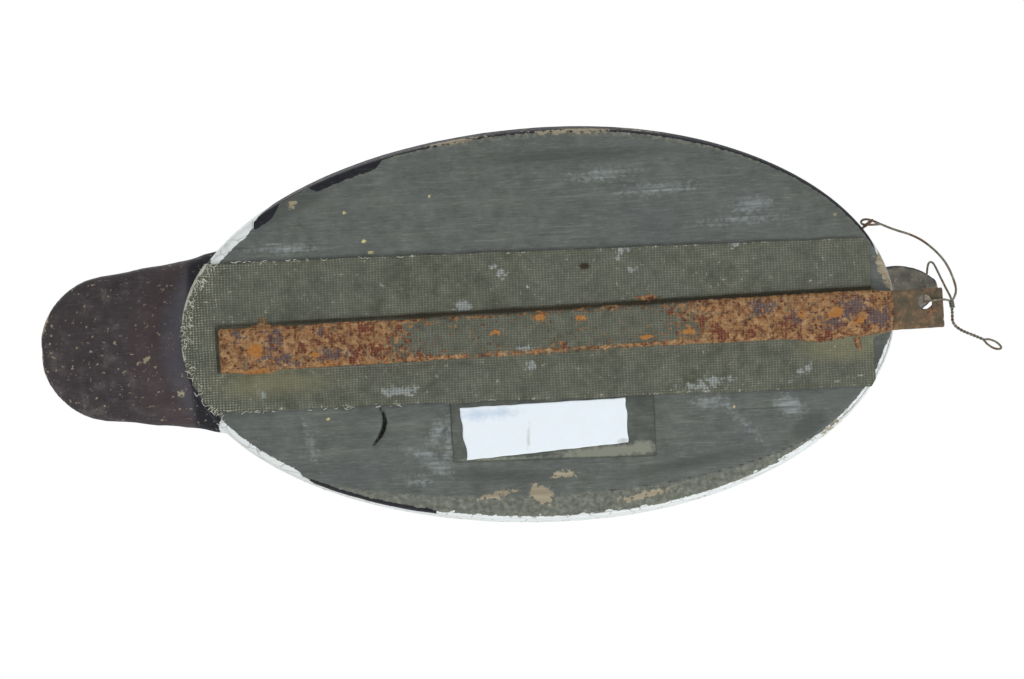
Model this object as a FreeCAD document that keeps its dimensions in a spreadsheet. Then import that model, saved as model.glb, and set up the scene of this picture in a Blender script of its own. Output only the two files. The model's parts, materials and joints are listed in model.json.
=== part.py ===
import FreeCAD, Part
import Sketcher
import math
import os

from FreeCAD import Placement, Rotation, Vector

# A hollow wooden working decoy: a carved body shell on a bottom board, a carved head, and an iron
# ballast bar screwed along the bottom under a strip of painted canvas. The bar's bare end stands out
# past the breast, and a bent wire tie for the anchor line swings between it and a screw eye.
#
# Millimetres. +X points to the bill, +Y to the decoy's left side, +Z up. The origin is halfway along
# the body, on its centre line, at the height of the surface that the decoy stands on.

DIMENSIONS = [
    # alias, value, what it is
    ("body_length", 341.0, "length of the flat bottom, breast to stern"),
    ("bottom_width", 184.5, "width of the flat bottom"),
    ("beam", 193.0, "greatest width of the body"),
    ("beam_height", 30.0, "height of the widest line above the bottom"),
    ("body_depth", 90.0, "bottom to crest of the back"),
    ("breast_bulge", 3.0, "how far the breast leans out over the bottom"),
    ("stern_bulge", 2.0, "how far the stern leans out over the bottom"),
    ("crest_forward", 11.0, "crest of the back and widest place, forward of mid length"),
    ("board_thickness", 12.0, "bottom board"),
    ("wall", 18.0, "thinnest wall of the hollowed body"),
    ("tail_length", 76.0, "tail beyond the flat bottom"),
    ("tail_tip_radius", 36.5, "round end of the tail"),
    ("tail_root_width", 86.0, "tail where it leaves the body"),
    ("tail_tip_thickness", 10.0, "tail at its end"),
    ("tail_root_thickness", 24.0, "tail where it leaves the body"),
    ("tail_height", 46.0, "middle of the tail's tip above the bottom"),
    ("tail_rise", 3.0, "how far the tail rises from the body to its tip"),
    ("neck_forward", 122.0, "neck dowel, forward of mid length"),
    ("head_turn", 6.2, "the head looks this many degrees to its right"),
    ("bill_length", 46.0, "bill beyond the face"),
    ("bill_width", 29.2, "bill at its widest"),
    ("eye_radius", 5.0, "glass eye"),
    ("dowel_radius", 6.0, "neck dowel"),
    ("dowel_length", 54.0, "neck dowel"),
    ("bar_width", 19.0, "flat iron ballast bar"),
    ("bar_thickness", 3.2, "flat iron ballast bar"),
    ("bar_length", 344.7, "flat iron ballast bar"),
    ("bar_overhang", 23.4, "bare end of the bar past the breast"),
    ("bar_offset", 3.4, "bar's middle, to the left of the centre line"),
    ("bar_skew", 0.4, "bar's degrees off the centre line"),
    ("hole_radius", 3.45, "tie hole in the bar"),
    ("hole_setback", 8.7, "tie hole's centre, back from the bar's end"),
    ("hole_sideways", 3.2, "tie hole's centre, right of the bar's middle"),
    ("canvas_thickness", 1.3, "glued and painted canvas"),
    ("canvas_width", 71.0, "canvas strip"),
    ("canvas_skew", 0.8, "canvas strip's degrees off the centre line"),
    ("canvas_setback", 10.5, "bare board between the canvas and the breast"),
    ("screw_spacing", 95.0, "screws along the bar"),
    ("screw_setback", 18.0, "first screw from the bar's stern end"),
    ("nail_inset", 10.0, "board nails inside the edge of the bottom"),
    ("eye_wire", 1.4, "screw eye's wire diameter"),
    ("eye_ring", 4.6, "screw eye's ring, across the middle of its wire"),
    ("eye_height", 9.0, "screw eye above the standing surface"),
    ("tie_wire_size", 1.1, "tie wire diameter"),
    ("tie_gap", 0.13, "tie wire under the bar's bare face"),
    ("label_length", 79.0, "cloth tape label"),
    ("label_width", 24.0, "cloth tape label"),
    ("patch_length", 98.0, "painted-over patch under the label"),
    ("patch_width", 29.0, "painted-over patch under the label"),
    ("tape_thickness", 0.25, "label and patch, each"),
]

PLAN_POINTS = 24        # points round each closed section
FRONT_FULLNESS = 2.02   # superellipse powers of the plan, before and behind the crest
REAR_FULLNESS = 2.04
SIDE_ROUNDING = 2.3     # how full the shoulders are
BREAST_ROUNDING = 2.5   # side view, crest to breast
BACK_ROUNDING = 1.75    # side view, crest to tail
TAIL_ROOT_DEPTH = 60.0  # the tail starts this far inside the body
TAIL_NOSE = 5.0         # the last stretch of the tail, where its edge rounds over
TAIL_FULLNESS = 3.0     # how square the tail's sections are
BILL_FULLNESS = 2.35

doc = FreeCAD.newDocument("decoy")
sheet = doc.addObject("Spreadsheet::Sheet", "Dims")
for row, (alias, value, meaning) in enumerate(DIMENSIONS, start=1):
    sheet.set(f"A{row}", meaning)
    sheet.set(f"B{row}", str(value))
    sheet.setAlias(f"B{row}", alias)
doc.recompute()


def dim(alias):
    """A driving dimension, read from the spreadsheet."""
    return float(getattr(sheet, alias))


# ---- heights and places that several pieces share -------------------------------------------------

bar_bottom = dim("canvas_thickness")
bottom = bar_bottom + dim("bar_thickness")         # the flat bottom of the wood
board_top = bottom + dim("board_thickness")
widest = bottom + dim("beam_height")
crest = bottom + dim("body_depth")
half_length = dim("body_length") / 2
nodes = []


def add(kind, label):
    """A new document object that isn't a sub-part by itself."""
    made = doc.addObject(kind, label)
    made.Label = label
    return made


def keep(made, label):
    """Marks a document object as the finished sub-part of that name."""
    made.Label = label
    nodes.append(made)
    return made


def bind(made, **properties):
    """Binds properties to expressions; a double underscore stands for a dot in the property's path."""
    for name, expression in properties.items():
        made.setExpression(name.replace("__", "."), expression)
    return made


BAR_BOTTOM = "Dims.canvas_thickness"
BOTTOM = "(Dims.canvas_thickness + Dims.bar_thickness)"
BOARD_TOP = "(Dims.canvas_thickness + Dims.bar_thickness + Dims.board_thickness)"


# ---- the carved body ------------------------------------------------------------------------------

def superellipse(share, power):
    """Height of a unit superellipse above that share of its half axis."""
    return (1 - min(abs(share), 1.0) ** power) ** (1 / power)


def waterline(z):
    """(half breadth, breast end, stern end) of the body's horizontal section at height z."""
    middle = dim("crest_forward")
    breast = half_length + dim("breast_bulge")
    stern = half_length + dim("stern_bulge")
    if z <= widest:
        under = ((widest - z) / (widest - bottom)) ** 2
        half = dim("beam") / 2 - (dim("beam") - dim("bottom_width")) / 2 * under
        return half, breast - dim("breast_bulge") * under, -stern + dim("stern_bulge") * under
    up = (z - widest) / (crest - widest)
    half = dim("beam") / 2 * superellipse(up, SIDE_ROUNDING)
    front = middle + (breast - middle) * superellipse(up, BREAST_ROUNDING)
    rear = middle - (stern + middle) * superellipse(up, BACK_ROUNDING)
    return half, front, rear


def plan_point(z, angle, inset=0.0):
    """A point of the body's outline at height z. Angle 0 is the breast and 90 degrees the left side."""
    half, front, rear = waterline(z)
    middle = dim("crest_forward")
    along, across = math.cos(angle), math.sin(angle)
    power = FRONT_FULLNESS if along > 0 else REAR_FULLNESS
    reach = (front - middle if along > 0 else middle - rear) - inset
    x = middle + math.copysign(reach * abs(along) ** (2 / power), along)
    y = math.copysign((half - inset) * abs(across) ** (2 / power), across)
    return Vector(x, y, z)


def closed_curve(points):
    """A smooth closed wire through the points."""
    curve = Part.BSplineCurve()
    curve.interpolate(Points=points, PeriodicFlag=True)
    return Part.Wire([curve.toShape()])


def plan_wire(z):
    """The body's whole outline at height z."""
    return closed_curve([plan_point(z, 2 * math.pi * k / PLAN_POINTS) for k in range(PLAN_POINTS)])


def body_form():
    """The body without its tail, lofted through horizontal sections that crowd towards the crest."""
    heights = [bottom, (bottom + widest) / 2, widest]
    heights += [widest + (crest - widest) * math.sin(math.radians(a)) for a in (14, 28, 42, 56, 68, 78, 85)]
    return Part.makeLoft([plan_wire(z) for z in heights], True, False)


def section_wire(x, middle, half, over, under, fullness):
    """A smooth upright section across the bird at x: half breadth, and heights over and under its middle."""
    points = []
    for k in range(PLAN_POINTS):
        angle = 2 * math.pi * k / PLAN_POINTS
        across, rise = math.cos(angle), math.sin(angle)
        y = math.copysign(half * abs(across) ** (2 / fullness), across)
        tall = over if rise > 0 else under
        points.append(Vector(x, y, middle + math.copysign(tall * abs(rise) ** (2 / fullness), rise)))
    return closed_curve(points)


def tail_wire(share):
    """A section of the tail, at that share of the way from inside the body (0) to its tip (1)."""
    tip = -half_length - dim("tail_length")
    inside = -half_length + TAIL_ROOT_DEPTH
    x = inside + (tip - inside) * share
    radius = dim("tail_tip_radius")
    centre = tip + radius
    if x < centre:
        half = math.sqrt(max(radius ** 2 - (centre - x) ** 2, 0.0))
    else:
        half = radius + (dim("tail_root_width") / 2 - radius) * (x - centre) / (-half_length - centre)
    spread = (dim("tail_root_thickness") - dim("tail_tip_thickness")) / dim("tail_length")
    thick = (dim("tail_tip_thickness") + spread * (x - tip)) / 2
    if x < tip + TAIL_NOSE:
        thick *= superellipse((tip + TAIL_NOSE - x) / TAIL_NOSE, 2)
    middle = bottom + dim("tail_height") - dim("tail_rise") * (x - tip) / dim("tail_length")
    return section_wire(x, middle, half, thick, thick, TAIL_FULLNESS)


def tail_form():
    """The paddle tail, which grows out of the body and ends in a half round."""
    shares = (0, 0.18, 0.34, 0.48, 0.6, 0.71, 0.8, 0.87, 0.92, 0.955, 0.98, 0.994)
    return Part.makeLoft([tail_wire(share) for share in shares], True, False)


carved = add("Part::Feature", "carved_form")
carved.Shape = body_form().fuse(tail_form())

slab = bind(
    add("Part::Box", "board_slab"),
    Length="Dims.body_length * 2",
    Width="Dims.beam * 2",
    Height="Dims.board_thickness",
    Placement__Base__x="-Dims.body_length",
    Placement__Base__y="-Dims.beam",
    Placement__Base__z=BOTTOM,
)

hollow = bind(
    add("Part::Ellipsoid", "hollow"),
    Radius1="Dims.body_depth - Dims.board_thickness - Dims.wall",
    Radius2="Dims.body_length / 2 - Dims.wall",
    Radius3="Dims.bottom_width / 2 - Dims.wall",
    Placement__Base__z=BOARD_TOP,
)

dowel = keep(
    bind(
        add("Part::Cylinder", "neck_dowel"),
        Radius="Dims.dowel_radius",
        Height="Dims.dowel_length",
        Placement__Base__x="Dims.neck_forward",
        Placement__Base__z=BOTTOM + " + Dims.body_depth * 0.6",
    ),
    "neck_dowel",
)


# ---- nails and screws -----------------------------------------------------------------------------

NAIL_SHANK = 1.0
NAIL_HEAD = 2.0
NAIL_HEAD_THICKNESS = 1.0
NAIL_POINT = 3.0


def nail(head, towards, length):
    """A wire nail from its head's outer face, along the direction it was driven in."""
    shank = Part.makeCylinder(NAIL_SHANK, length - NAIL_POINT, head, towards)
    flat = Part.makeCylinder(NAIL_HEAD, NAIL_HEAD_THICKNESS, head, towards)
    start = head + towards.normalize() * (length - NAIL_POINT)
    return flat.fuse([shank, Part.makeCone(NAIL_SHANK, 0.2, NAIL_POINT, start, towards)]).removeSplitter()


BOARD_NAILS = 10
BOARD_NAIL_LENGTH = 30.0

board_nails = keep(add("Part::Feature", "board_nails"), "board_nails")
board_nails.Shape = Part.makeCompound([
    nail(plan_point(bottom, 2 * math.pi * (k + 0.5) / BOARD_NAILS, dim("nail_inset")), Vector(0, 0, 1),
         BOARD_NAIL_LENGTH)
    for k in range(BOARD_NAILS)
])

NECK_NAIL_LENGTH = 34.0
NECK_NAIL_SIDE = 9.0
NECK_NAIL_BACK = 23.0
NECK_NAIL_LIFT = 5.0     # nail head above the crest of the back

neck_nails = keep(add("Part::Feature", "neck_nails"), "neck_nails")
neck_nails.Shape = Part.makeCompound([
    nail(Vector(dim("neck_forward") - NECK_NAIL_BACK, side * NECK_NAIL_SIDE, crest + NECK_NAIL_LIFT),
         Vector(0.45, 0, -0.9), NECK_NAIL_LENGTH)
    for side in (-1, 1)
])

SCREW_HEAD = 4.2
SCREW_SHANK = 2.0
SCREW_HEAD_DEPTH = 2.4
SCREW_LENGTH = 14.0
SCREW_POINT = 3.0
SCREWS = 4


def bar_point(along, across=0.0, z=0.0):
    """A point on the ballast bar, measured from its stern end and from its middle, to the left."""
    turn = math.radians(-dim("bar_skew"))
    front = half_length + dim("bar_overhang")
    from_middle = front - dim("bar_length") + along
    x = from_middle * math.cos(turn) - across * math.sin(turn)
    y = dim("bar_offset") + from_middle * math.sin(turn) + across * math.cos(turn)
    return Vector(x, y, z)


def flat_head_screw(head):
    """A countersunk wood screw that points up, from the middle of its head's face."""
    up = Vector(0, 0, 1)
    sunk = Part.makeCone(SCREW_HEAD, SCREW_SHANK, SCREW_HEAD_DEPTH, head, up)
    shank = Part.makeCylinder(SCREW_SHANK, SCREW_LENGTH - SCREW_POINT - SCREW_HEAD_DEPTH,
                              head + up * SCREW_HEAD_DEPTH, up)
    point = Part.makeCone(SCREW_SHANK, 0.3, SCREW_POINT, head + up * (SCREW_LENGTH - SCREW_POINT), up)
    slot = Part.makeBox(2 * SCREW_HEAD, 1.0, 0.9, head - Vector(SCREW_HEAD, 0.5, 0))
    return sunk.fuse([shank, point]).removeSplitter().cut(slot)


bar_screws = keep(add("Part::Feature", "bar_screws"), "bar_screws")
bar_screws.Shape = Part.makeCompound([
    flat_head_screw(bar_point(dim("screw_setback") + k * dim("screw_spacing"), 0, bar_bottom))
    for k in range(SCREWS)
])


# ---- screw eye ------------------------------------------------------------------------------------

EYE_ANGLE = math.radians(-23.6)      # where the screw eye sits on the outline, right of the breast
EYE_SHANK = 14.0
EYE_CLEAR = 1.0                      # ring's clear space from the wood

eye_root = plan_point(dim("eye_height"), EYE_ANGLE)
beside = plan_point(dim("eye_height"), EYE_ANGLE + 0.01) - plan_point(dim("eye_height"), EYE_ANGLE - 0.01)
eye_tangent = beside.normalize()
eye_outward = Vector(eye_tangent.y, -eye_tangent.x, 0)
ring_outside = (dim("eye_ring") + dim("eye_wire")) / 2
eye_centre = eye_root + eye_outward * (ring_outside + EYE_CLEAR)

screw_eye = keep(add("Part::Feature", "screw_eye"), "screw_eye")
eye_ring = Part.makeTorus(dim("eye_ring") / 2, dim("eye_wire") / 2, eye_centre, eye_tangent)
eye_shank = Part.makeCylinder(dim("eye_wire") / 2, EYE_SHANK, eye_centre - eye_outward * dim("eye_ring") / 2,
                              -eye_outward)
screw_eye.Shape = eye_ring.fuse(eye_shank)


# ---- board and shell ------------------------------------------------------------------------------

def subtract(base, tools, label):
    """base with each tool cut from it in turn, as linked cuts in the document."""
    for count, tool in enumerate(tools):
        cut = add("Part::Cut", f"{label}_cut_{count}")
        cut.Base = base
        cut.Tool = tool
        base = cut
    return base


board_blank = add("Part::Common", "board_blank")
board_blank.Base = carved
board_blank.Tool = slab
keep(subtract(board_blank, [board_nails, bar_screws, screw_eye], "board"), "bottom_board")
keep(subtract(carved, [slab, hollow, board_nails, neck_nails, dowel], "shell"), "body_shell")


# ---- head -----------------------------------------------------------------------------------------

# The head's horizontal sections, from inside the body to the crown: height above the wood's bottom,
# breast side, back side, half breadth, all measured from the neck dowel.
HEAD_SECTIONS = [
    (62, 33, -40, 33),
    (78, 30, -35, 30),
    (90, 27, -28, 25),
    (100, 28, -22, 21.5),
    (109, 35, -19.5, 21.5),
    (118, 43, -18.5, 23),
    (128, 47, -18, 24.3),
    (138, 46.5, -16.5, 24),
    (148, 42, -13, 21.8),
    (156, 35.5, -7.5, 17.8),
    (162, 27, 0, 11.5),
    (165, 20, 7, 5),
]
HEAD_FULLNESS = 2.2
BILL_ROOT = 38.0            # bill starts here inside the face, from the neck dowel
BILL_FACE = 45.0            # the face, from the neck dowel
BILL_UNDER_ROOT = 117.0     # heights above the wood's bottom
BILL_UNDER_TIP = 115.5
BILL_TOP_ROOT = 144.0
BILL_TOP_TIP = 121.0
BILL_WAIST = 0.83           # narrowest part of the bill, as a share of its width
BILL_ROUND = 24.0           # length of the bill's rounded end
BILL_ROUND_FULLNESS = 1.8


def head_wire(height, front, back, half):
    """One horizontal section of the head."""
    middle, reach = (front + back) / 2, (front - back) / 2
    points = []
    for k in range(PLAN_POINTS):
        angle = 2 * math.pi * k / PLAN_POINTS
        x = math.copysign(reach * abs(math.cos(angle)) ** (2 / HEAD_FULLNESS), math.cos(angle))
        y = math.copysign(half * abs(math.sin(angle)) ** (2 / HEAD_FULLNESS), math.sin(angle))
        points.append(Vector(dim("neck_forward") + middle + x, y, bottom + height))
    return closed_curve(points)


def bill_wire(share):
    """A cross-section of the bill at that share of the way from its root to its tip."""
    tip = BILL_FACE + dim("bill_length")
    x = BILL_ROOT + (tip - BILL_ROOT) * share
    spread = dim("bill_width") / 2
    round_from = tip - BILL_ROUND
    if x > round_from:
        half = spread * superellipse((x - round_from) / BILL_ROUND, BILL_ROUND_FULLNESS)
    else:
        rise = (x - BILL_ROOT) / (round_from - BILL_ROOT)
        half = spread * (BILL_WAIST + (1 - BILL_WAIST) * rise ** 2)
    under = bottom + BILL_UNDER_ROOT + (BILL_UNDER_TIP - BILL_UNDER_ROOT) * share
    top = bottom + BILL_TOP_TIP + (BILL_TOP_ROOT - BILL_TOP_TIP) * (1 - share) ** 1.8
    middle = under + (top - under) * 0.35
    return section_wire(dim("neck_forward") + x, middle, half, top - middle, middle - under, BILL_FULLNESS)


def head_form():
    """Head, neck and bill as carved from one block, looking straight ahead."""
    skull = Part.makeLoft([head_wire(*section) for section in HEAD_SECTIONS], True, False)
    bill = Part.makeLoft([bill_wire(s) for s in (0, 0.2, 0.4, 0.6, 0.74, 0.85, 0.93, 0.975, 0.995)], True, False)
    return skull.fuse(bill)


def turned_with_head(shape):
    """shape turned to the head's own right about the neck dowel."""
    shape.rotate(Vector(dim("neck_forward"), 0, 0), Vector(0, 0, 1), -dim("head_turn"))
    return shape


EYE_FORWARD = 25.0
EYE_UP = 136.0
EYE_SIDE = 20.6

eyes = []
for side, name in ((1, "eye_left"), (-1, "eye_right")):
    eye = keep(add("Part::Feature", name), name)
    ball = Part.makeSphere(dim("eye_radius"),
                           Vector(dim("neck_forward") + EYE_FORWARD, side * EYE_SIDE, bottom + EYE_UP))
    eye.Shape = turned_with_head(ball)
    eyes.append(eye)

# One cut with every tool at once: the nails cross the seat on the body at a slant, and cutting them
# one after the other leaves slivers there.
doc.recompute()
head = keep(add("Part::Feature", "head"), "head")
head_tools = [solid for tool in (carved, dowel, neck_nails, *eyes) for solid in tool.Shape.Solids]
head.Shape = turned_with_head(head_form()).cut(head_tools)


# ---- ballast bar ----------------------------------------------------------------------------------

def plane(body, role):
    """An origin plane of a body, found by its role."""
    return next(f for f in body.Origin.OriginFeatures if f.Role == role)


def new_sketch(body, label):
    """An empty sketch on the body's own XY plane."""
    sketch = body.newObject("Sketcher::SketchObject", label)
    sketch.AttachmentSupport = (plane(body, "XY_Plane"), [""])
    sketch.MapMode = "FlatFace"
    return sketch


def centred_rectangle(sketch, length, width):
    """A rectangle centred on the sketch's origin, its two sizes bound to expressions."""
    corners = [Vector(-10, -5, 0), Vector(10, -5, 0), Vector(10, 5, 0), Vector(-10, 5, 0)]
    for k in range(4):
        sketch.addGeometry(Part.LineSegment(corners[k], corners[(k + 1) % 4]), False)
    for k in range(4):
        sketch.addConstraint(Sketcher.Constraint("Coincident", k, 2, (k + 1) % 4, 1))
        sketch.addConstraint(Sketcher.Constraint("Horizontal" if k % 2 == 0 else "Vertical", k))
    sketch.addConstraint(Sketcher.Constraint("Symmetric", 0, 1, 2, 1, -1, 1))
    for edge, kind, size in ((0, "DistanceX", length), (1, "DistanceY", width)):
        index = sketch.addConstraint(Sketcher.Constraint(kind, edge, 1, edge, 2, 20.0 - 10 * edge))
        sketch.setExpression(f"Constraints[{index}]", size)
    return sketch


def pad(body, sketch, height):
    """The body's sketch raised to a height."""
    feature = body.newObject("PartDesign::Pad", sketch.Label + "_pad")
    feature.Profile = sketch
    feature.setExpression("Length", height)
    return feature


bar = keep(add("PartDesign::Body", "ballast_bar"), "ballast_bar")
bar_middle = bar_point(dim("bar_length") / 2, 0, bar_bottom)
bar.Placement = Placement(bar_middle, Rotation(Vector(0, 0, 1), -dim("bar_skew")))
pad(bar, centred_rectangle(new_sketch(bar, "bar_outline"), "Dims.bar_length", "Dims.bar_width"),
    "Dims.bar_thickness")
doc.recompute()

tie_hole = new_sketch(bar, "tie_hole")
tie_hole.addGeometry(Part.Circle(Vector(100, -4, 0), Vector(0, 0, 1), 3.0), False)
for kind, size in (("Radius", "Dims.hole_radius"),
                   ("DistanceX", "Dims.bar_length / 2 - Dims.hole_setback"),
                   ("DistanceY", "-Dims.hole_sideways")):
    if kind == "Radius":
        index = tie_hole.addConstraint(Sketcher.Constraint("Radius", 0, 3.0))
    else:
        start = 100.0 if kind == "DistanceX" else -4.0
        index = tie_hole.addConstraint(Sketcher.Constraint(kind, 0, 3, start))
    tie_hole.setExpression(f"Constraints[{index}]", size)
hole_cut = bar.newObject("PartDesign::Pocket", "tie_hole_cut")
hole_cut.Profile = tie_hole
hole_cut.Type = 1
hole_cut.Midplane = True
doc.recompute()

screw_seats = new_sketch(bar, "screw_seats")
screw_seats.addGeometry(Part.Circle(Vector(-150, 0, 0), Vector(0, 0, 1), SCREW_HEAD), False)
screw_seats.addConstraint(Sketcher.Constraint("Radius", 0, SCREW_HEAD))
screw_seats.addConstraint(Sketcher.Constraint("PointOnObject", 0, 3, -1))
index = screw_seats.addConstraint(Sketcher.Constraint("DistanceX", 0, 3, -150.0))
screw_seats.setExpression(f"Constraints[{index}]", "Dims.screw_setback - Dims.bar_length / 2")
seat = bar.newObject("PartDesign::Pocket", "screw_seat")
seat.Profile = screw_seats
seat.Reversed = True
seat.Length = SCREW_HEAD_DEPTH
seat.TaperAngle = -math.degrees(math.atan((SCREW_HEAD - SCREW_SHANK) / SCREW_HEAD_DEPTH))
doc.recompute()

shank_sketch = new_sketch(bar, "shank_hole")
shank_sketch.addGeometry(Part.Circle(Vector(-150, 0, 0), Vector(0, 0, 1), SCREW_SHANK), False)
shank_sketch.addConstraint(Sketcher.Constraint("Radius", 0, SCREW_SHANK))
shank_sketch.addConstraint(Sketcher.Constraint("PointOnObject", 0, 3, -1))
index = shank_sketch.addConstraint(Sketcher.Constraint("DistanceX", 0, 3, -150.0))
shank_sketch.setExpression(f"Constraints[{index}]", "Dims.screw_setback - Dims.bar_length / 2")
shank_cut = bar.newObject("PartDesign::Pocket", "shank_cut")
shank_cut.Profile = shank_sketch
shank_cut.Type = 1
shank_cut.Midplane = True
doc.recompute()

row = bar.newObject("PartDesign::LinearPattern", "screw_row")
row.Originals = [seat, shank_cut]
row.Direction = (screw_seats, ["H_Axis"])
row.Occurrences = SCREWS
row.Mode = "Spacing"
row.setExpression("Offset", "Dims.screw_spacing")
bar.Tip = row
doc.recompute()


# ---- canvas ---------------------------------------------------------------------------------------

# The canvas strip starts at the stern edge of the bottom, lies flat on the board and stops short of
# the breast. Only the narrow covering over the bar runs on to the breast edge.
bottom_prism = add("Part::Feature", "bottom_prism")
bottom_prism.Shape = Part.Face(plan_wire(bottom)).extrude(Vector(0, 0, -bottom))

canvas_cloth = bind(
    add("Part::Box", "canvas_cloth"),
    Length="Dims.body_length * 1.1 - Dims.canvas_setback",
    Width="Dims.canvas_width",
    Height="Dims.canvas_thickness",
)
canvas_turn = Rotation(Vector(0, 0, 1), dim("canvas_skew"))
canvas_corner = canvas_turn.multVec(Vector(-dim("body_length") * 0.6, -dim("canvas_width") / 2, 0))
canvas_cloth.Placement = Placement(canvas_corner + Vector(0, 0, bottom - dim("canvas_thickness")), canvas_turn)


def box_round_bar(label, margin, z, height):
    """A block along the bar, wider than it by a margin on each side and past its stern end."""
    block = bind(
        add("Part::Box", label),
        Length=f"Dims.bar_length + {margin} * 2",
        Width=f"Dims.bar_width + {margin} * 2",
        Height=height,
    )
    corner = bar_point(0, -dim("bar_width") / 2, z)
    turn = Rotation(Vector(0, 0, 1), -dim("bar_skew"))
    size = 0.0 if margin == "0" else dim("canvas_thickness")
    block.Placement = Placement(corner + turn.multVec(Vector(-size, -size, 0)), turn)
    return block


over_bar = box_round_bar("canvas_over_bar", "Dims.canvas_thickness", 0, BOTTOM)
under_bar = box_round_bar("bar_space", "0", bar_bottom, "Dims.bar_thickness")
cloth = add("Part::Fuse", "canvas_whole")
cloth.Base = canvas_cloth
cloth.Tool = over_bar
cloth_trimmed = add("Part::Common", "canvas_trimmed")
cloth_trimmed.Base = cloth
cloth_trimmed.Tool = bottom_prism
keep(subtract(cloth_trimmed, [under_bar], "canvas"), "canvas_strip")


# ---- label and patch ------------------------------------------------------------------------------

LABEL_MIDDLE = Vector(1.0, 49.8, 0)
LABEL_TURN = -1.6
PATCH_MIDDLE = Vector(5.0, 51.6, 0)


def tape(label, middle, turn, under, length, width):
    """A thin rectangular piece of cloth tape on the bottom, with its outer face that far under the wood."""
    body = keep(add("PartDesign::Body", label), label)
    body.Placement = Placement(middle + Vector(0, 0, bottom - under), Rotation(Vector(0, 0, 1), turn))
    pad(body, centred_rectangle(new_sketch(body, label + "_outline"), length, width), "Dims.tape_thickness")
    return body


tape("label_patch", PATCH_MIDDLE, 0.0, dim("tape_thickness"), "Dims.patch_length", "Dims.patch_width")
tape("tape_label", LABEL_MIDDLE, LABEL_TURN, 2 * dim("tape_thickness"), "Dims.label_length", "Dims.label_width")


# ---- wire tie -------------------------------------------------------------------------------------

wire_radius = dim("tie_wire_size") / 2
hole_centre = bar_point(dim("bar_length") - dim("hole_setback"), -dim("hole_sideways"),
                        bar_bottom + dim("bar_thickness") / 2)
bar_end = bar_point(dim("bar_length"), 0, 0)
under_face = bar_bottom - dim("tie_gap") - wire_radius
knot = Vector(bar_end.x + 3.6, hole_centre.y + 0.7, 2 * wire_radius + 0.15)


def tube(points, radius=wire_radius, largest=60.0):
    """A round wire through the points: straight runs joined by tangent arcs as large as the runs allow."""
    pieces, start = [], points[0]

    def disc(place, along):
        return Part.Face(Part.Wire([Part.Circle(place, along, radius).toShape()]))

    for before, corner, after in zip(points, points[1:], points[2:]):
        back, ahead = (before - corner), (after - corner)
        shorter = min(back.Length, ahead.Length)
        back, ahead = back.normalize(), ahead.normalize()
        half_turn = (math.pi - back.getAngle(ahead)) / 2
        cut = min(0.45 * shorter, largest * math.tan(half_turn))
        bend = cut / math.tan(half_turn)
        if bend < 1.2 * radius:
            raise ValueError(f"the wire can't bend as sharply as {bend:.2f} mm at {corner}")
        first = corner + back * cut
        centre = corner + (back + ahead).normalize() * (bend / math.cos(half_turn))
        pieces.append(disc(start, -back).extrude(first - start))
        pieces.append(disc(first, -back).revolve(centre, ahead.cross(back), math.degrees(2 * half_turn)))
        start = corner + ahead * cut
    pieces.append(disc(start, points[-1] - start).extrude(points[-1] - start))
    return pieces[0].fuse(pieces[1:]).removeSplitter()


# The bail: it hooks through the screw eye and bows out to the knot. Each point is a share of the way
# from the eye to the knot, then its bow outwards and upwards as shares of that distance.
BOW = [(0.19, 0.11, 0.02), (0.37, 0.205, 0.03), (0.54, 0.235, 0.03), (0.72, 0.225, 0.02), (0.88, 0.16, 0.01),
       (0.99, 0.085, 0.0)]
HOOK_REACH = ring_outside + wire_radius + 0.45
HOOK_BACK = 2.2

to_knot = knot - eye_centre
span = to_knot.Length
ahead = Vector(to_knot.x, to_knot.y, 0).normalize()
outward = Vector(ahead.y, -ahead.x, 0)
hook = [
    eye_centre + eye_tangent * 3.0 + eye_outward * HOOK_REACH,
    eye_centre - eye_tangent * HOOK_BACK + eye_outward * HOOK_REACH,
    eye_centre - eye_tangent * HOOK_BACK,
    eye_centre + eye_tangent * 1.6,
]
bow = [eye_centre + to_knot * a + outward * (b * span) + Vector(0, 0, c * span) for a, b, c in BOW]
bail = tube([*hook, *bow, knot])

# The hairpin: from the knot along the bar's bare face, up through the hole, over and back down.
hairpin = tube([
    knot,
    Vector(bar_end.x + 1.2, hole_centre.y - 0.9, under_face + 0.15),
    Vector(hole_centre.x, hole_centre.y, under_face),
    Vector(hole_centre.x, hole_centre.y, under_face + 6.5),
    hole_centre + Vector(1.6, -5.0, 11.5),
    hole_centre + Vector(4.3, -17.2, 14.0),
    hole_centre + Vector(6.4, -18.8, 13.6),
    hole_centre + Vector(8.0, -16.4, 12.2),
    hole_centre + Vector(11.6, -5.6, 2.6),
    knot,
], largest=1.6)

# The twisted pair runs from the knot to the eye that the anchor line is tied to.
TWIST = [Vector(0, 0, 0), Vector(0.3, 4.6, 0), Vector(-0.2, 10.4, 0), Vector(4.2, 14.2, 0), Vector(10.0, 16.6, 0),
         Vector(15.4, 19.8, 0)]
LINE_EYE = [Vector(15.0, 19.5, -0.4), Vector(18.6, 19.7, -0.5), Vector(21.8, 21.6, -0.55), Vector(22.6, 23.6, -0.55),
            Vector(19.9, 24.0, -0.5), Vector(15.2, 20.0, -0.4)]
twist = tube([knot + v for v in TWIST], 2 * wire_radius)
line_eye = tube([knot + v for v in LINE_EYE])
wraps = Part.makeSphere(2 * wire_radius + 0.1, knot)

tie = keep(add("Part::Feature", "wire_tie"), "wire_tie")
tie.Shape = wraps.fuse([bail, hairpin, twist, line_eye])


# ---- check and write ------------------------------------------------------------------------------

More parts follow.
